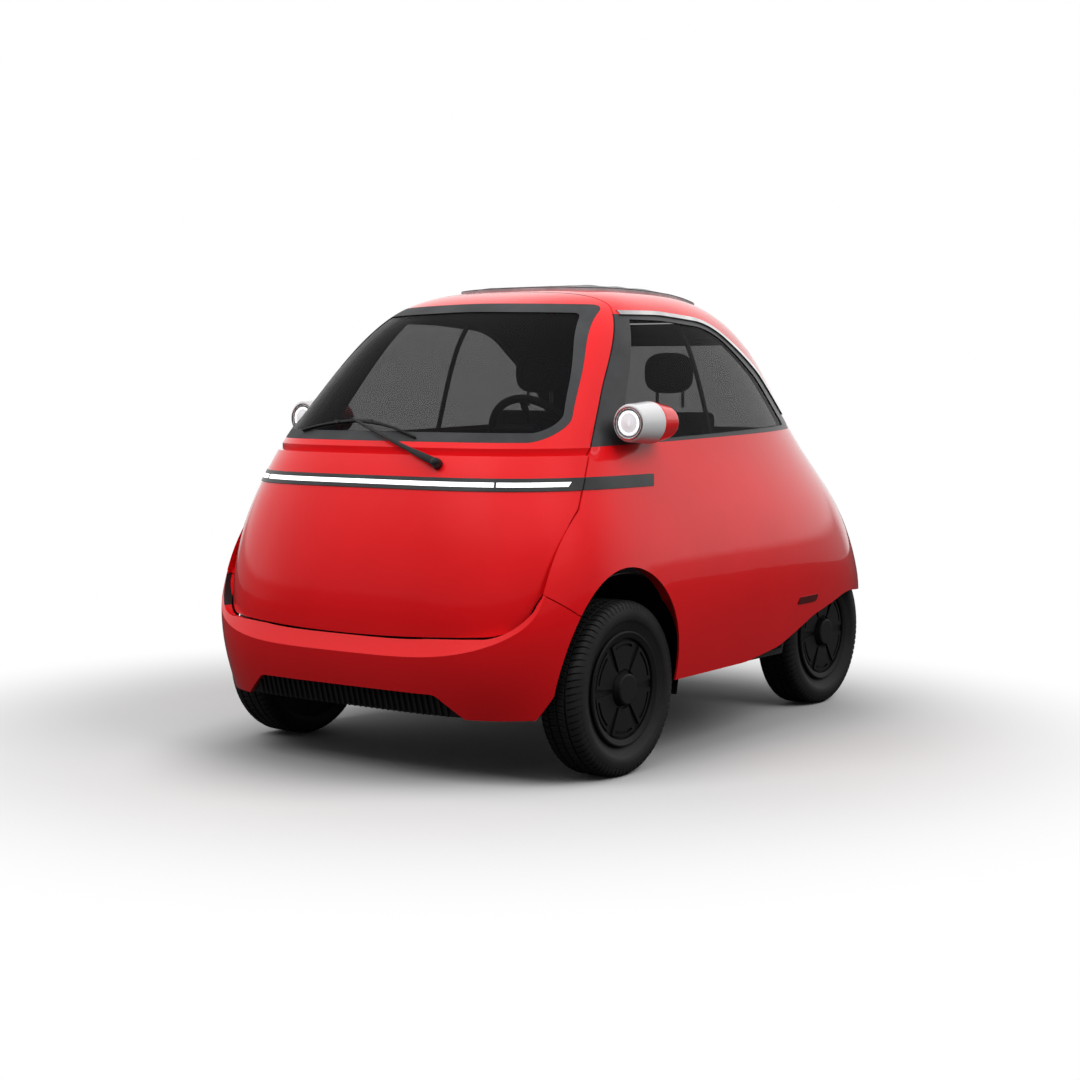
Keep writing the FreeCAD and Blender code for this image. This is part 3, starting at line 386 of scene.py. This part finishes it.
# ---- Pieces
def piece(name, verts, faces, mat, body, replaces=()):
    mesh = bpy.data.meshes.new(name)
    mesh.from_pydata([tuple(v) for v in verts], [], faces)
    bm = bmesh.new()
    bm.from_mesh(mesh)
    bmesh.ops.recalc_face_normals(bm, faces=bm.faces)
    bm.to_mesh(mesh)
    bm.free()
    mesh.shade_smooth()
    obj = bpy.data.objects.new(name, mesh)
    bpy.context.scene.collection.objects.link(obj)
    obj.data.materials.append(M[mat])
    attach(obj, body)
    for n in replaces:
        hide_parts(n)
    return obj


def crisp(obj, angle=30.0):
    split = obj.modifiers.new("edges", "EDGE_SPLIT")
    split.split_angle = math.radians(angle)


def lathe(profile, centre, count=64):
    """A closed ring about the axis Y: profile in (along, radius)."""
    verts, faces = [], []
    n = len(profile)
    for k in range(count):
        a = 2 * math.pi * k / count
        for along, radius in profile:
            u, v = radius * math.cos(a), radius * math.sin(a)
            verts.append((centre[0] + u, centre[1] + along, centre[2] + v))
    for k in range(count):
        for i in range(n):
            p, q = k * n + i, k * n + (i + 1) % n
            r, s = ((k + 1) % count) * n + (i + 1) % n, ((k + 1) % count) * n + i
            faces.append((p, q, r, s))
    return verts, faces


def ring_profile(along, radius, thick, count=14):
    turns = [2 * math.pi * i / count for i in range(count)]
    return [(along + thick * math.cos(a), radius + thick * math.sin(a)) for a in turns]


def join(parts):
    verts, faces = [], []
    for v, f in parts:
        base = len(verts)
        verts += list(v)
        faces += [tuple(i + base for i in face) for face in f]
    return verts, faces


# ---- Tyres with their tread
TRACK_FRONT, TRACK_REAR = 0.637, 0.460
AXLE_FRONT, AXLE_REAR, WHEEL_Z = -0.753, 0.813, 0.2665
PITCHES = 80
SHOULDER_CUT, RIB_CUT = 5.5, 4.0
SHOULDER_START = 238.5
# Share of a pitch, then whether the shoulder and the rib are cut there
PITCH_MARKS = (
    (0.00, 1, 1), (0.15, 1, 1), (0.20, 0, 0), (0.54, 0, 0),
    (0.58, 0, 1), (0.62, 0, 0), (0.95, 0, 0),
)
# Millimetres from the middle plane and from the axle, from the bead to the middle groove
TYRE_PROFILE = {
    "side": (
        (50, 165), (53.5, 172), (56, 181), (60.5, 190), (65, 198), (68.6, 205), (69.8, 206), (71.8, 212),
        (73.4, 219), (73.6, 226), (72.7, 233), (71.8, 238.4),
    ),
    "shoulder": (
        (71.5, 239.5), (70.3, 245), (68.4, 251.4), (65.6, 256.6), (61.2, 261.2), (55.5, 264.4),
        (49.0, 266.1), (42.5, 266.5), (35.2, 266.5),
    ),
    "outer_groove": ((34.4, 260.0), (28.6, 260.0)),
    "rib": ((27.8, 266.5), (16.0, 266.5), (3.6, 266.5)),
    "middle_groove": ((2.9, 260.0),),
}


def tyre_rows():
    """(across, radius, kind): the outer profile from bead to bead."""
    half = [(x, r, kind) for kind, points in TYRE_PROFILE.items() for x, r in points]
    left = [(-x, r, kind) for x, r, kind in half]
    return left + half[::-1]


def tyre(name, x, y, side, body, node):
    rows = tyre_rows()
    verts, faces = [], []
    for p in range(PITCHES):
        for phase, cut_shoulder, cut_rib in PITCH_MARKS:
            for across, radius, kind in rows:
                skew = 0.055 * (abs(across) / 60.0) ** 1.4 * (1 if kind != "rib" else -1)
                a = 2 * math.pi * (p + phase) / PITCHES + skew
                depth = 0.0
                if kind == "shoulder":
                    depth = cut_shoulder * min(SHOULDER_CUT, max(0.0, (radius - SHOULDER_START) * 0.9))
                if kind == "rib":
                    depth = cut_rib * RIB_CUT
                r = (radius - depth) / 1000.0
                verts.append((x + side * across / 1000.0, y + r * math.sin(a), WHEEL_Z + r * math.cos(a)))
    n, m = len(rows), PITCHES * len(PITCH_MARKS)
    for k in range(m):
        for i in range(n):
            p, q = k * n + i, k * n + (i + 1) % n
            r, s = ((k + 1) % m) * n + (i + 1) % n, ((k + 1) % m) * n + i
            faces.append((p, q, r, s))
    obj = piece(name, verts, faces, "rubber", body, (node,))
    crisp(obj, 38.0)
    return obj


for end, y, track in (("front", AXLE_FRONT, TRACK_FRONT), ("rear", AXLE_REAR, TRACK_REAR)):
    for hand, side in (("left", 1), ("right", -1)):
        corner = "%s_%s" % (end, hand)
        tyre("tread_" + corner, side * track, y, side, "roadwheel_" + corner, "tyre_" + corner)


# ---- Soft pieces
CLOTH_FRAMES = 20
CUSHION_PRESSURE = 4.0
SEAM_DEPTH, SEAM_WIDTH = 0.005, 0.006
PLACE_X = 0.2350
HEAD_PAD_X, HEAD_PAD_FOOT = 0.28, 1.138
CHANNEL_FROM, CHANNEL_TO = 0.07, 0.40


def bake(obj):
    dg = bpy.context.evaluated_depsgraph_get()
    mesh = bpy.data.meshes.new_from_object(obj.evaluated_get(dg))
    obj.modifiers.clear()
    obj.data = mesh


def get_points(mesh):
    out = np.empty(len(mesh.vertices) * 3, dtype=np.float64)
    mesh.vertices.foreach_get("co", out)
    return out.reshape(-1, 3)


def set_points(mesh, points):
    mesh.vertices.foreach_set("co", points.ravel())
    mesh.update()


def vertex_normals(mesh):
    out = np.empty(len(mesh.vertices) * 3, dtype=np.float32)
    mesh.vertex_normals.foreach_get("vector", out)
    return out.reshape(-1, 3).astype(np.float64)


def puffed(name, verts, faces, voxel, cap, mat, body, nodes):
    """A cushion: a small shape, remeshed, blown up by the cloth solver, its swelling capped, refined."""
    obj = piece(name, verts, faces, mat, body, nodes)
    remesh = obj.modifiers.new("remesh", "REMESH")
    remesh.mode = "VOXEL"
    remesh.voxel_size = voxel
    remesh.use_smooth_shade = True
    bake(obj)
    start = get_points(obj.data)
    cloth = obj.modifiers.new("cloth", "CLOTH")
    cloth.settings.quality = 4
    cloth.settings.mass = 0.3
    cloth.settings.use_pressure = True
    cloth.settings.uniform_pressure_force = CUSHION_PRESSURE
    cloth.settings.effector_weights.gravity = 0.0
    cloth.collision_settings.use_collision = False
    cloth.point_cache.frame_start = 1
    cloth.point_cache.frame_end = CLOTH_FRAMES
    scene = bpy.context.scene
    for f in range(1, CLOTH_FRAMES + 1):
        scene.frame_set(f)
    dg = bpy.context.evaluated_depsgraph_get()
    swollen = get_points(obj.evaluated_get(dg).data)
    obj.modifiers.clear()
    scene.frame_set(1)
    move = swollen - start
    move -= move.mean(axis=0)
    size = np.linalg.norm(move, axis=1, keepdims=True)
    move *= np.minimum(1.0, cap / np.maximum(size, 1e-9))
    set_points(obj.data, start + move)
    fine = obj.modifiers.new("fine", "SUBSURF")
    fine.levels = 1
    fine.render_levels = 1
    bake(obj)
    obj.data.shade_smooth()
    return obj


def press(obj, facing, distance, depth, width):
    """Sinks the skin by depth along a line, on the side that faces that way.

    distance gives each point's distance from the line.
    """
    points = get_points(obj.data)
    normals = vertex_normals(obj.data)
    turn = np.clip((normals @ np.array(facing) - 0.35) / 0.4, 0, 1)
    dent = depth * np.exp(-((distance(points) / width) ** 2)) * turn
    set_points(obj.data, points - normals * dent[:, None])


def node_shape(node, inset):
    """The node's own facets, drawn in by inset on every side."""
    mesh = NODES[node].data
    points = get_points(mesh)
    low, high = points.min(axis=0), points.max(axis=0)
    middle = (low + high) / 2
    scale = (high - low - 2 * inset) / (high - low)
    faces = [tuple(p.vertices) for p in mesh.polygons]
    return ((points - middle) * scale + middle).tolist(), faces


def box_border(points, u, v, middle, half):
    beside = np.abs(points[:, u] - middle[0]) - half[0]
    beyond = np.abs(points[:, v] - middle[1]) - half[1]
    return np.abs(np.maximum(beside, beyond))


def channel(points, axis, at):
    """Distance from a sewn channel that runs across each half of the bench."""
    across = np.abs(points[:, 0])
    inside = (across > CHANNEL_FROM) & (across < CHANNEL_TO)
    return np.where(inside, np.abs(points[:, axis] - at), 1.0)


def quilt(obj, facing, axis, channels, border_middle, border_half):
    """Channels, the seam between the two places, and a border round each place."""
    for at in channels:
        press(obj, facing, lambda p, at=at: channel(p, axis, at), SEAM_DEPTH, SEAM_WIDTH)
    press(obj, facing, lambda p: np.abs(p[:, 0]), 0.009, 0.009)
    for x in (-PLACE_X, PLACE_X):
        middle = (x, border_middle)
        press(obj, facing, lambda p, m=middle: box_border(p, 0, axis, m, border_half), SEAM_DEPTH, SEAM_WIDTH)


def seats():
    verts, faces = node_shape("seat_base", 0.009)
    base = puffed("seat_cushion", verts, faces, 0.0095, 0.008, "fabric", "chassis", ("seat_base",))
    quilt(base, (0, 0, 1), 1, (-0.29, -0.22, -0.15, -0.08, -0.01), -0.15, (0.165, 0.185))
    verts, faces = node_shape("seat_back", 0.008)
    back = puffed("seat_backrest", verts, faces, 0.0095, 0.007, "fabric", "chassis", ("seat_back",))
    quilt(back, (0, -1, 0), 2, (0.76, 0.83, 0.90, 0.97, 1.03), 0.86, (0.165, 0.20))


def pad_shape(centre, half, powers, rows=28, cols=40):
    """A closed rounded pad with three half sizes. powers: how square its face and its thickness are."""
    verts = []

    def bent(value, power):
        return math.copysign(abs(value) ** (2.0 / power), value)

    for i in range(rows + 1):
        phi = math.pi * (i / rows - 0.5)
        r = bent(math.cos(phi), powers[1])
        y = centre[1] + half[1] * bent(math.sin(phi), powers[1])
        for j in range(cols):
            a = 2 * math.pi * j / cols
            x = centre[0] + half[0] * r * bent(math.cos(a), powers[0])
            z = centre[2] + half[2] * r * bent(math.sin(a), powers[0])
            verts.append((x, y, z))
    return verts, ring_faces(rows + 1, cols)


def upright_rod(x, y, low, high, radius, count=20):
    verts = []
    for z, r in ((low, 0.0), (low, radius), (high, radius), (high, 0.0)):
        for k in range(count):
            a = 2 * math.pi * k / count
            verts.append((x + r * math.cos(a), y + r * math.sin(a), z))
    return verts, ring_faces(4, count)


def head_restraints():
    low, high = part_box("head_restraints")
    middle = (high[2] + HEAD_PAD_FOOT) / 2
    for hand, side in (("left", 1), ("right", -1)):
        x = side * HEAD_PAD_X
        verts, faces = pad_shape((x, 0.132, middle), (0.094, 0.036, 0.070), (2.9, 2.7))
        name = "head_pad_" + hand
        pad = puffed(name, verts, faces, 0.0055, 0.005, "fabric", "chassis", ("head_restraints",))

        def from_seam(p, x=x):
            oval = np.hypot((p[:, 0] - x) / 0.070, (p[:, 2] - middle) / 0.050)
            return np.abs(oval - 1) * 0.06

        press(pad, (0, -1, 0), from_seam, 0.004, 0.005)
    places = [side * x for side in (1, -1) for x in (0.228, 0.332)]
    posts = [upright_rod(x, 0.14, low[2], 1.150, 0.006) for x in places]
    obj = piece("head_posts", *join(posts), "chrome", "chassis", ("head_restraints",))
    crisp(obj)


CLOTH_HALF, CLOTH_FRONT, CLOTH_REAR, CLOTH_CORNER = 0.2835, -0.3435, 0.3285, 0.058
CLOTH_OVER, CLOTH_UNDER = 0.0021, 0.0005
ROOF_BOWS = (-0.25, -0.10, 0.05, 0.20)
BOW_WIDTH, BOW_RISE = 0.016, 0.0024
SLACK = 0.0006


def cloth_half_width(y):
    """Half the cloth's width at y, with its corners rounded."""
    edge = min(y - CLOTH_FRONT, CLOTH_REAR - y)
    if edge >= CLOTH_CORNER:
        return CLOTH_HALF
    return CLOTH_HALF - CLOTH_CORNER + math.sqrt(max(0.0, CLOTH_CORNER ** 2 - (CLOTH_CORNER - edge) ** 2))


def cloth_lift(x, y):
    """How far the cloth stands up over the bows and in faint ripples between them, fading at its edge."""
    edge = min(1.0, min(y - CLOTH_FRONT, CLOTH_REAR - y, CLOTH_HALF - abs(x)) / 0.05)
    lift = sum(math.exp(-(((y - b) / BOW_WIDTH) ** 2)) for b in ROOF_BOWS) * BOW_RISE
    ripple = math.sin(x * 38 + 3 * math.sin(y * 17)) ** 2
    lift += SLACK * ripple * math.sin((y + 0.025) * math.pi / 0.15) ** 2
    return lift * max(0.0, edge)


def roof_fabric():
    dg = bpy.context.evaluated_depsgraph_get()
    tree = BVHTree.FromObject(NODES["sunroof"], dg)
    nx, ny = 56, 84
    upper, lower = [], []
    z = 1.49
    for i in range(ny + 1):
        y = CLOTH_FRONT + (CLOTH_REAR - CLOTH_FRONT) * i / ny
        w = cloth_half_width(y) - 0.0005
        for j in range(nx + 1):
            x = w * (2 * j / nx - 1)
            hit = tree.ray_cast(Vector((x * 0.997, y * 0.9985, 1.7)), Vector((0, 0, -1)))[0]
            z = hit.z if hit else z
            lift = cloth_lift(x, y)
            upper.append((x, y, z + lift + CLOTH_OVER))
            lower.append((x, y, z + lift + CLOTH_UNDER))
    verts = upper + lower
    n, m = nx + 1, ny + 1
    faces = []
    for i in range(ny):
        for j in range(nx):
            a, b, c, d = i * n + j, i * n + j + 1, (i + 1) * n + j + 1, (i + 1) * n + j
            faces += [(a, b, c, d), (d + n * m, c + n * m, b + n * m, a + n * m)]
    rim = list(range(n)) + [i * n + nx for i in range(1, m)]
    rim += [ny * n + j for j in range(nx - 1, -1, -1)] + [i * n for i in range(ny - 1, 0, -1)]
    for k in range(len(rim)):
        a, b = rim[k], rim[(k + 1) % len(rim)]
        faces.append((b, a, a + n * m, b + n * m))
    obj = piece("roof_fabric", verts, faces, "canvas", "chassis")
    points = np.array(upper).reshape(m, n, 3)
    a, b = points[1:, 1:] - points[:-1, :-1], points[1:, :-1] - points[:-1, 1:]


seats()
head_restraints()
roof_fabric()


# ---- Lamps
LAMP_X, LAMP_FRONT, LAMP_Z = 0.668, -0.6907, 1.062
DIVIDER_X, BAR_Z = 0.456, 0.8855
WIPER_PIVOT, WIPER_CLIP = (0.254, 0.940), (-0.141, 1.059)
BLADE_START, BLADE_LENGTH = -0.362, 0.496
# Share along the blade and height
BLADE_BOW = (
    (0, 0.11, 0.22, 0.33, 0.445, 0.56, 0.67, 0.78, 0.89, 1),
    (1.0270, 1.0390, 1.0480, 1.0545, 1.0590, 1.0570, 1.0510, 1.0420, 1.0295, 1.0150),
)
CLAW_PLACES = (0.30, 0.44, 0.58)
# Rise from the door and radius of the pivot's cap
CAP_STEPS = ((0.0008, 0.0165), (0.012, 0.0160), (0.024, 0.0135), (0.0275, 0.0105), (0.0290, 0.004))


def lamp_rings():
    for hand, side in (("left", 1), ("right", -1)):
        centre = (side * LAMP_X, LAMP_FRONT, LAMP_Z)
        piece("lamp_light_" + hand, *lathe(ring_profile(0.0002, 0.0335, 0.0026), centre), "led", "chassis")
        groove = [(0.0006, 0.0400), (0.0006, 0.0425), (-0.0006, 0.0425), (-0.0006, 0.0400)]
        dark = piece("lamp_shadow_" + hand, *lathe(groove, centre), "black", "chassis")
        crisp(dark)
        bezel = [(0.0012, 0.0440), (-0.0014, 0.0450), (-0.0026, 0.0475), (-0.0022, 0.0505), (0.0012, 0.0525)]
        piece("lamp_bezel_" + hand, *lathe(bezel, centre), "chrome", "chassis")


def oriented_block(place, out, up, half):
    side = up.cross(out).normalized()
    up = out.cross(side).normalized()
    signs = [(a, b, c) for a in (-1, 1) for b in (-1, 1) for c in (-1, 1)]
    verts = [place + side * half[0] * a + up * half[1] * b + out * half[2] * c for a, b, c in signs]
    faces = [(0, 1, 3, 2), (4, 6, 7, 5), (0, 4, 5, 1), (2, 3, 7, 6), (0, 2, 6, 4), (1, 5, 7, 3)]
    return [tuple(v) for v in verts], faces


def from_front(tree, x, z):
    """Where a ray from the front meets the surface, and the surface's direction there."""
    place, normal, _, _ = tree.ray_cast(Vector((x, -2.0, z)), Vector((0, 1, 0)))
    return place, normal if normal.y < 0 else -normal


def bar_dividers():
    dg = bpy.context.evaluated_depsgraph_get()
    tree = BVHTree.FromObject(NODES["light_bar_lens"], dg)
    parts = []
    for x in (-DIVIDER_X, DIVIDER_X):
        place, out = from_front(tree, x, BAR_Z)
        parts.append(oriented_block(place, out, Vector((0, 0, 1)), (0.0035, 0.0072, 0.0012)))
    obj = piece("light_bar_dividers", *join(parts), "trim", "door")
    bevel = obj.modifiers.new("bevel", "BEVEL")
    bevel.width = 0.0006
    bevel.segments = 2


def strand(points, outs, half_wide, half_thick, count=10):
    """A tapered bar with a rounded section along points, flat against the surface below it."""
    verts = []
    n = len(points)
    for i in range(n):
        ahead = (points[min(i + 1, n - 1)] - points[max(i - 1, 0)]).normalized()
        side = ahead.cross(outs[i]).normalized()
        for k in range(count):
            a = 2 * math.pi * (k + 0.5) / count
            u, v = math.cos(a), math.sin(a)
            u = math.copysign(abs(u) ** 0.6, u)
            v = math.copysign(abs(v) ** 0.6, v)
            verts.append(points[i] + side * half_wide[i] * u + outs[i] * half_thick[i] * v)
    return verts, ring_faces(n, count) + ring_ends(n, count)


def wiper_strip(tree, count, line, rises, wide, thick):
    """A strand along a line (x and z for a share of it), with its rise and half sizes by shares."""
    places, outs, halves, thicks = [], [], [], []
    for i in range(count + 1):
        t = i / count
        place, out = from_front(tree, *line(t))
        places.append(place + out * np.interp(t, *rises))
        outs.append(out)
        halves.append(float(np.interp(t, *wide)))
        thicks.append(float(np.interp(t, *thick)))
    return strand(places, outs, halves, thicks)


def pivot_cap(count=24):
    base, out = from_front(search_tree(door_surface), *WIPER_PIVOT)
    side = out.cross(Vector((0, 0, 1))).normalized()
    up = out.cross(side)
    verts = []
    for rise, radius in CAP_STEPS:
        for k in range(count):
            a = 2 * math.pi * k / count
            verts.append(base + out * rise + side * radius * math.cos(a) + up * radius * math.sin(a))
    return verts, ring_faces(len(CAP_STEPS), count) + ring_ends(len(CAP_STEPS), count)


def arm_line(t):
    return tuple(a + (b - a) * t for a, b in zip(WIPER_PIVOT, WIPER_CLIP))


def blade_line(t):
    return BLADE_START + BLADE_LENGTH * t, float(np.interp(t, *BLADE_BOW))


def wiper():
    screen = search_tree(body_surface)
    taper = (0, 0.10, 0.32, 1)
    arm = wiper_strip(
        screen, 28, arm_line,
        ((0, 0.12, 1), (0.0185, 0.0205, 0.0195)),
        (taper, (0.0125, 0.0115, 0.0072, 0.0042)),
        (taper, (0.0050, 0.0060, 0.0046, 0.0030)),
    )
    obj = piece("wiper_arm", *join([arm, pivot_cap()]), "black", "door", ("wiper",))
    crisp(obj, 40.0)
    ends = (0, 1)
    halves = (0, 0.5, 1)
    rubber = wiper_strip(
        screen, 40, blade_line, (ends, (0.0046, 0.0046)), (ends, (0.0013, 0.0013)), (ends, (0.0042, 0.0042))
    )
    spine = wiper_strip(
        screen, 40, blade_line,
        (halves, (0.0100, 0.0112, 0.0100)),
        ((0, 0.45, 0.55, 1), (0.0030, 0.0052, 0.0052, 0.0030)),
        (halves, (0.0014, 0.0026, 0.0014)),
    )
    parts = [rubber, spine]
    for t in CLAW_PLACES:
        place, out = from_front(screen, *blade_line(t))
        parts.append(oriented_block(place + out * 0.0115, out, Vector((0, 0, 1)), (0.011, 0.0062, 0.0030)))
    obj = piece("wiper_blade", *join(parts), "seal", "door", ("wiper",))
    crisp(obj, 40.0)


lamp_rings()
bar_dividers()
wiper()


# ---- Stage
FLOOR_SIZE, FLOOR_MIDDLE = 60.0, (-0.15, -0.35, 0)
# The floor's grey below the car, darker there as a painted shadow, and away from it, and the darker grey that
# reflections in the paint see, a painted shade
FLOOR_SHADOW_GREY, FLOOR_FAR, FLOOR_REFLECTED_SHADE = 0.30, 0.56, 0.05
SHADE_HALF = (0.95, 1.45)
FADE_START, FADE_END = 1.25, 2.5
# The level direction that the camera looks along. The room's light is set from 0, behind the
# camera, to 1, behind the car.
BACKWARDS = (-0.595, 0.804, 0)
ROOM_LIGHT = ((0.0, 0.20), (0.425, 0.20), (0.60, 0.78), (0.70, 0.82), (0.93, 1.0), (1.0, 1.0))
CEILING_LIGHT, LOW_LIGHT = 0.6, 0.30
CAMERA_AZIMUTH, CAMERA_RISE = 36.5145, 4.6326
CAMERA_PLACE = (4.009, -5.651, 1.194)
SENSOR, FOCAL_PIXELS, PICTURE_PIXELS = 36.0, 1984.96, 1080.0
# name, place, aim, size, power
LIGHTS = (
    ("key_front", (-0.8, -4.4, 5.0), (0, -0.5, 0.6), 3.0, 185),
    ("fill_side", (4.6, -0.8, 3.8), (0.5, -0.2, 0.7), 3.0, 150),
    ("fill_top", (0.3, -1.2, 4.6), (0.1, -0.3, 0.8), 3.5, 50),
)


def add_stage():
    """A grey floor under the car, darker beneath it as a painted shadow, and seen darker in the paint's
    reflections as painted shade. The camera sees it fade to white.
    """
    bpy.ops.mesh.primitive_plane_add(size=FLOOR_SIZE, location=FLOOR_MIDDLE)
    floor = bpy.context.object
    floor.name = "stage_floor"
    mat, nodes, links, bsdf = new_material("stage_floor")
    bsdf.inputs["Roughness"].default_value = 0.9
    bsdf.inputs["Specular IOR Level"].default_value = 0.1
    where = nodes.new("ShaderNodeTexCoord")
    camera_ray = nodes.new("ShaderNodeLightPath").outputs["Is Camera Ray"]

    def distance(scale):
        grown = nodes.new("ShaderNodeVectorMath")
        grown.operation = "MULTIPLY"
        grown.inputs[1].default_value = (*scale, 1)
        links.new(where.outputs["Object"], grown.inputs[0])
        long = nodes.new("ShaderNodeVectorMath")
        long.operation = "LENGTH"
        links.new(grown.outputs["Vector"], long.inputs[0])
        return long.outputs["Value"]

    shade = distance((1.0 / SHADE_HALF[0], 1.0 / SHADE_HALF[1]))
    # painted shadow: the floor's grey darkens towards the car's footprint
    painted_shadow = map_range(nodes, links, shade, 0.55, 1.0, (FLOOR_SHADOW_GREY, FLOOR_FAR))
    grain = noise(nodes, 1.3, 3.0)
    coords(nodes, links, grain)
    mixed = reckon(nodes, links, "MULTIPLY_ADD", grain.outputs["Fac"], 0.02, painted_shadow)
    # painted shade: reflections in the paint see the floor at a darker grey than the camera does
    color = between(nodes, links, camera_ray, FLOOR_REFLECTED_SHADE, mixed)
    links.new(color, bsdf.inputs["Base Color"])
    fade = map_range(nodes, links, distance((1.0, 1.0)), FADE_START, FADE_END)
    glow = nodes.new("ShaderNodeEmission")
    glow.inputs["Color"].default_value = (1, 1, 1, 1)
    glow.inputs["Strength"].default_value = 1.0
    mix = nodes.new("ShaderNodeMixShader")
    links.new(reckon(nodes, links, "MULTIPLY", fade, camera_ray), mix.inputs["Fac"])
    links.new(bsdf.outputs["BSDF"], mix.inputs[1])
    links.new(glow.outputs["Emission"], mix.inputs[2])
    links.new(mix.outputs["Shader"], nodes["Material Output"].inputs["Surface"])
    floor.data.materials.append(mat)


def add_world():
    """White wherever the camera looks, and a dimmer room in front of the car."""
    world = bpy.data.worlds.new("studio")
    bpy.context.scene.world = world
    world.use_nodes = True
    nodes, links = world.node_tree.nodes, world.node_tree.links
    where = nodes.new("ShaderNodeTexCoord")
    along = nodes.new("ShaderNodeVectorMath")
    along.operation = "DOT_PRODUCT"
    along.inputs[1].default_value = BACKWARDS
    links.new(where.outputs["Generated"], along.inputs[0])
    backwards = along.outputs["Value"]
    half = reckon(nodes, links, "MULTIPLY_ADD", backwards, 0.5, 0.5)
    back = ramp(nodes, links, half, [(at, grey(v)) for at, v in ROOM_LIGHT])
    parts = nodes.new("ShaderNodeSeparateXYZ")
    links.new(where.outputs["Generated"], parts.inputs["Vector"])
    height = parts.outputs["Z"]
    over = map_range(nodes, links, height, 0.35, 0.75)
    low = map_range(nodes, links, height, 0.07, 0.13, (LOW_LIGHT, 1.0))
    behind = map_range(nodes, links, backwards, 0.80, 0.90, smooth=False)
    kept = reckon(nodes, links, "MAXIMUM", low, behind)
    lit = reckon(nodes, links, "MULTIPLY", back.outputs["Color"], kept)
    room = between(nodes, links, over, lit, CEILING_LIGHT)
    camera_ray = nodes.new("ShaderNodeLightPath").outputs["Is Camera Ray"]
    strength = reckon(nodes, links, "MAXIMUM", room, camera_ray)
    links.new(strength, nodes["Background"].inputs["Strength"])
    nodes["Background"].inputs["Color"].default_value = (1, 1, 1, 1)


def add_lights():
    for name, place, aim, size, power in LIGHTS:
        light = bpy.data.lights.new(name, "AREA")
        light.energy = power
        light.size = size
        obj = bpy.data.objects.new(name, light)
        bpy.context.scene.collection.objects.link(obj)
        obj.location = place
        obj.rotation_euler = (Vector(aim) - Vector(place)).to_track_quat("-Z", "Y").to_euler()
        obj.visible_glossy = False


def add_camera():
    az, el = math.radians(CAMERA_AZIMUTH), math.radians(CAMERA_RISE)
    back = Vector((math.sin(az) * math.cos(el), -math.cos(az) * math.cos(el), math.sin(el)))
    right = Vector((math.cos(az), math.sin(az), 0))
    up = back.cross(right)
    cam = bpy.data.objects.new("camera", bpy.data.cameras.new("camera"))
    bpy.context.scene.collection.objects.link(cam)
    m = Matrix((right, up, back)).transposed().to_4x4()
    m.translation = Vector(CAMERA_PLACE)
    cam.matrix_world = m
    cam.data.sensor_width = SENSOR
    cam.data.lens = SENSOR * FOCAL_PIXELS / PICTURE_PIXELS
    bpy.context.scene.camera = cam


add_stage()
add_world()
add_lights()
add_camera()
bpy.context.scene.view_settings.view_transform = "Standard"
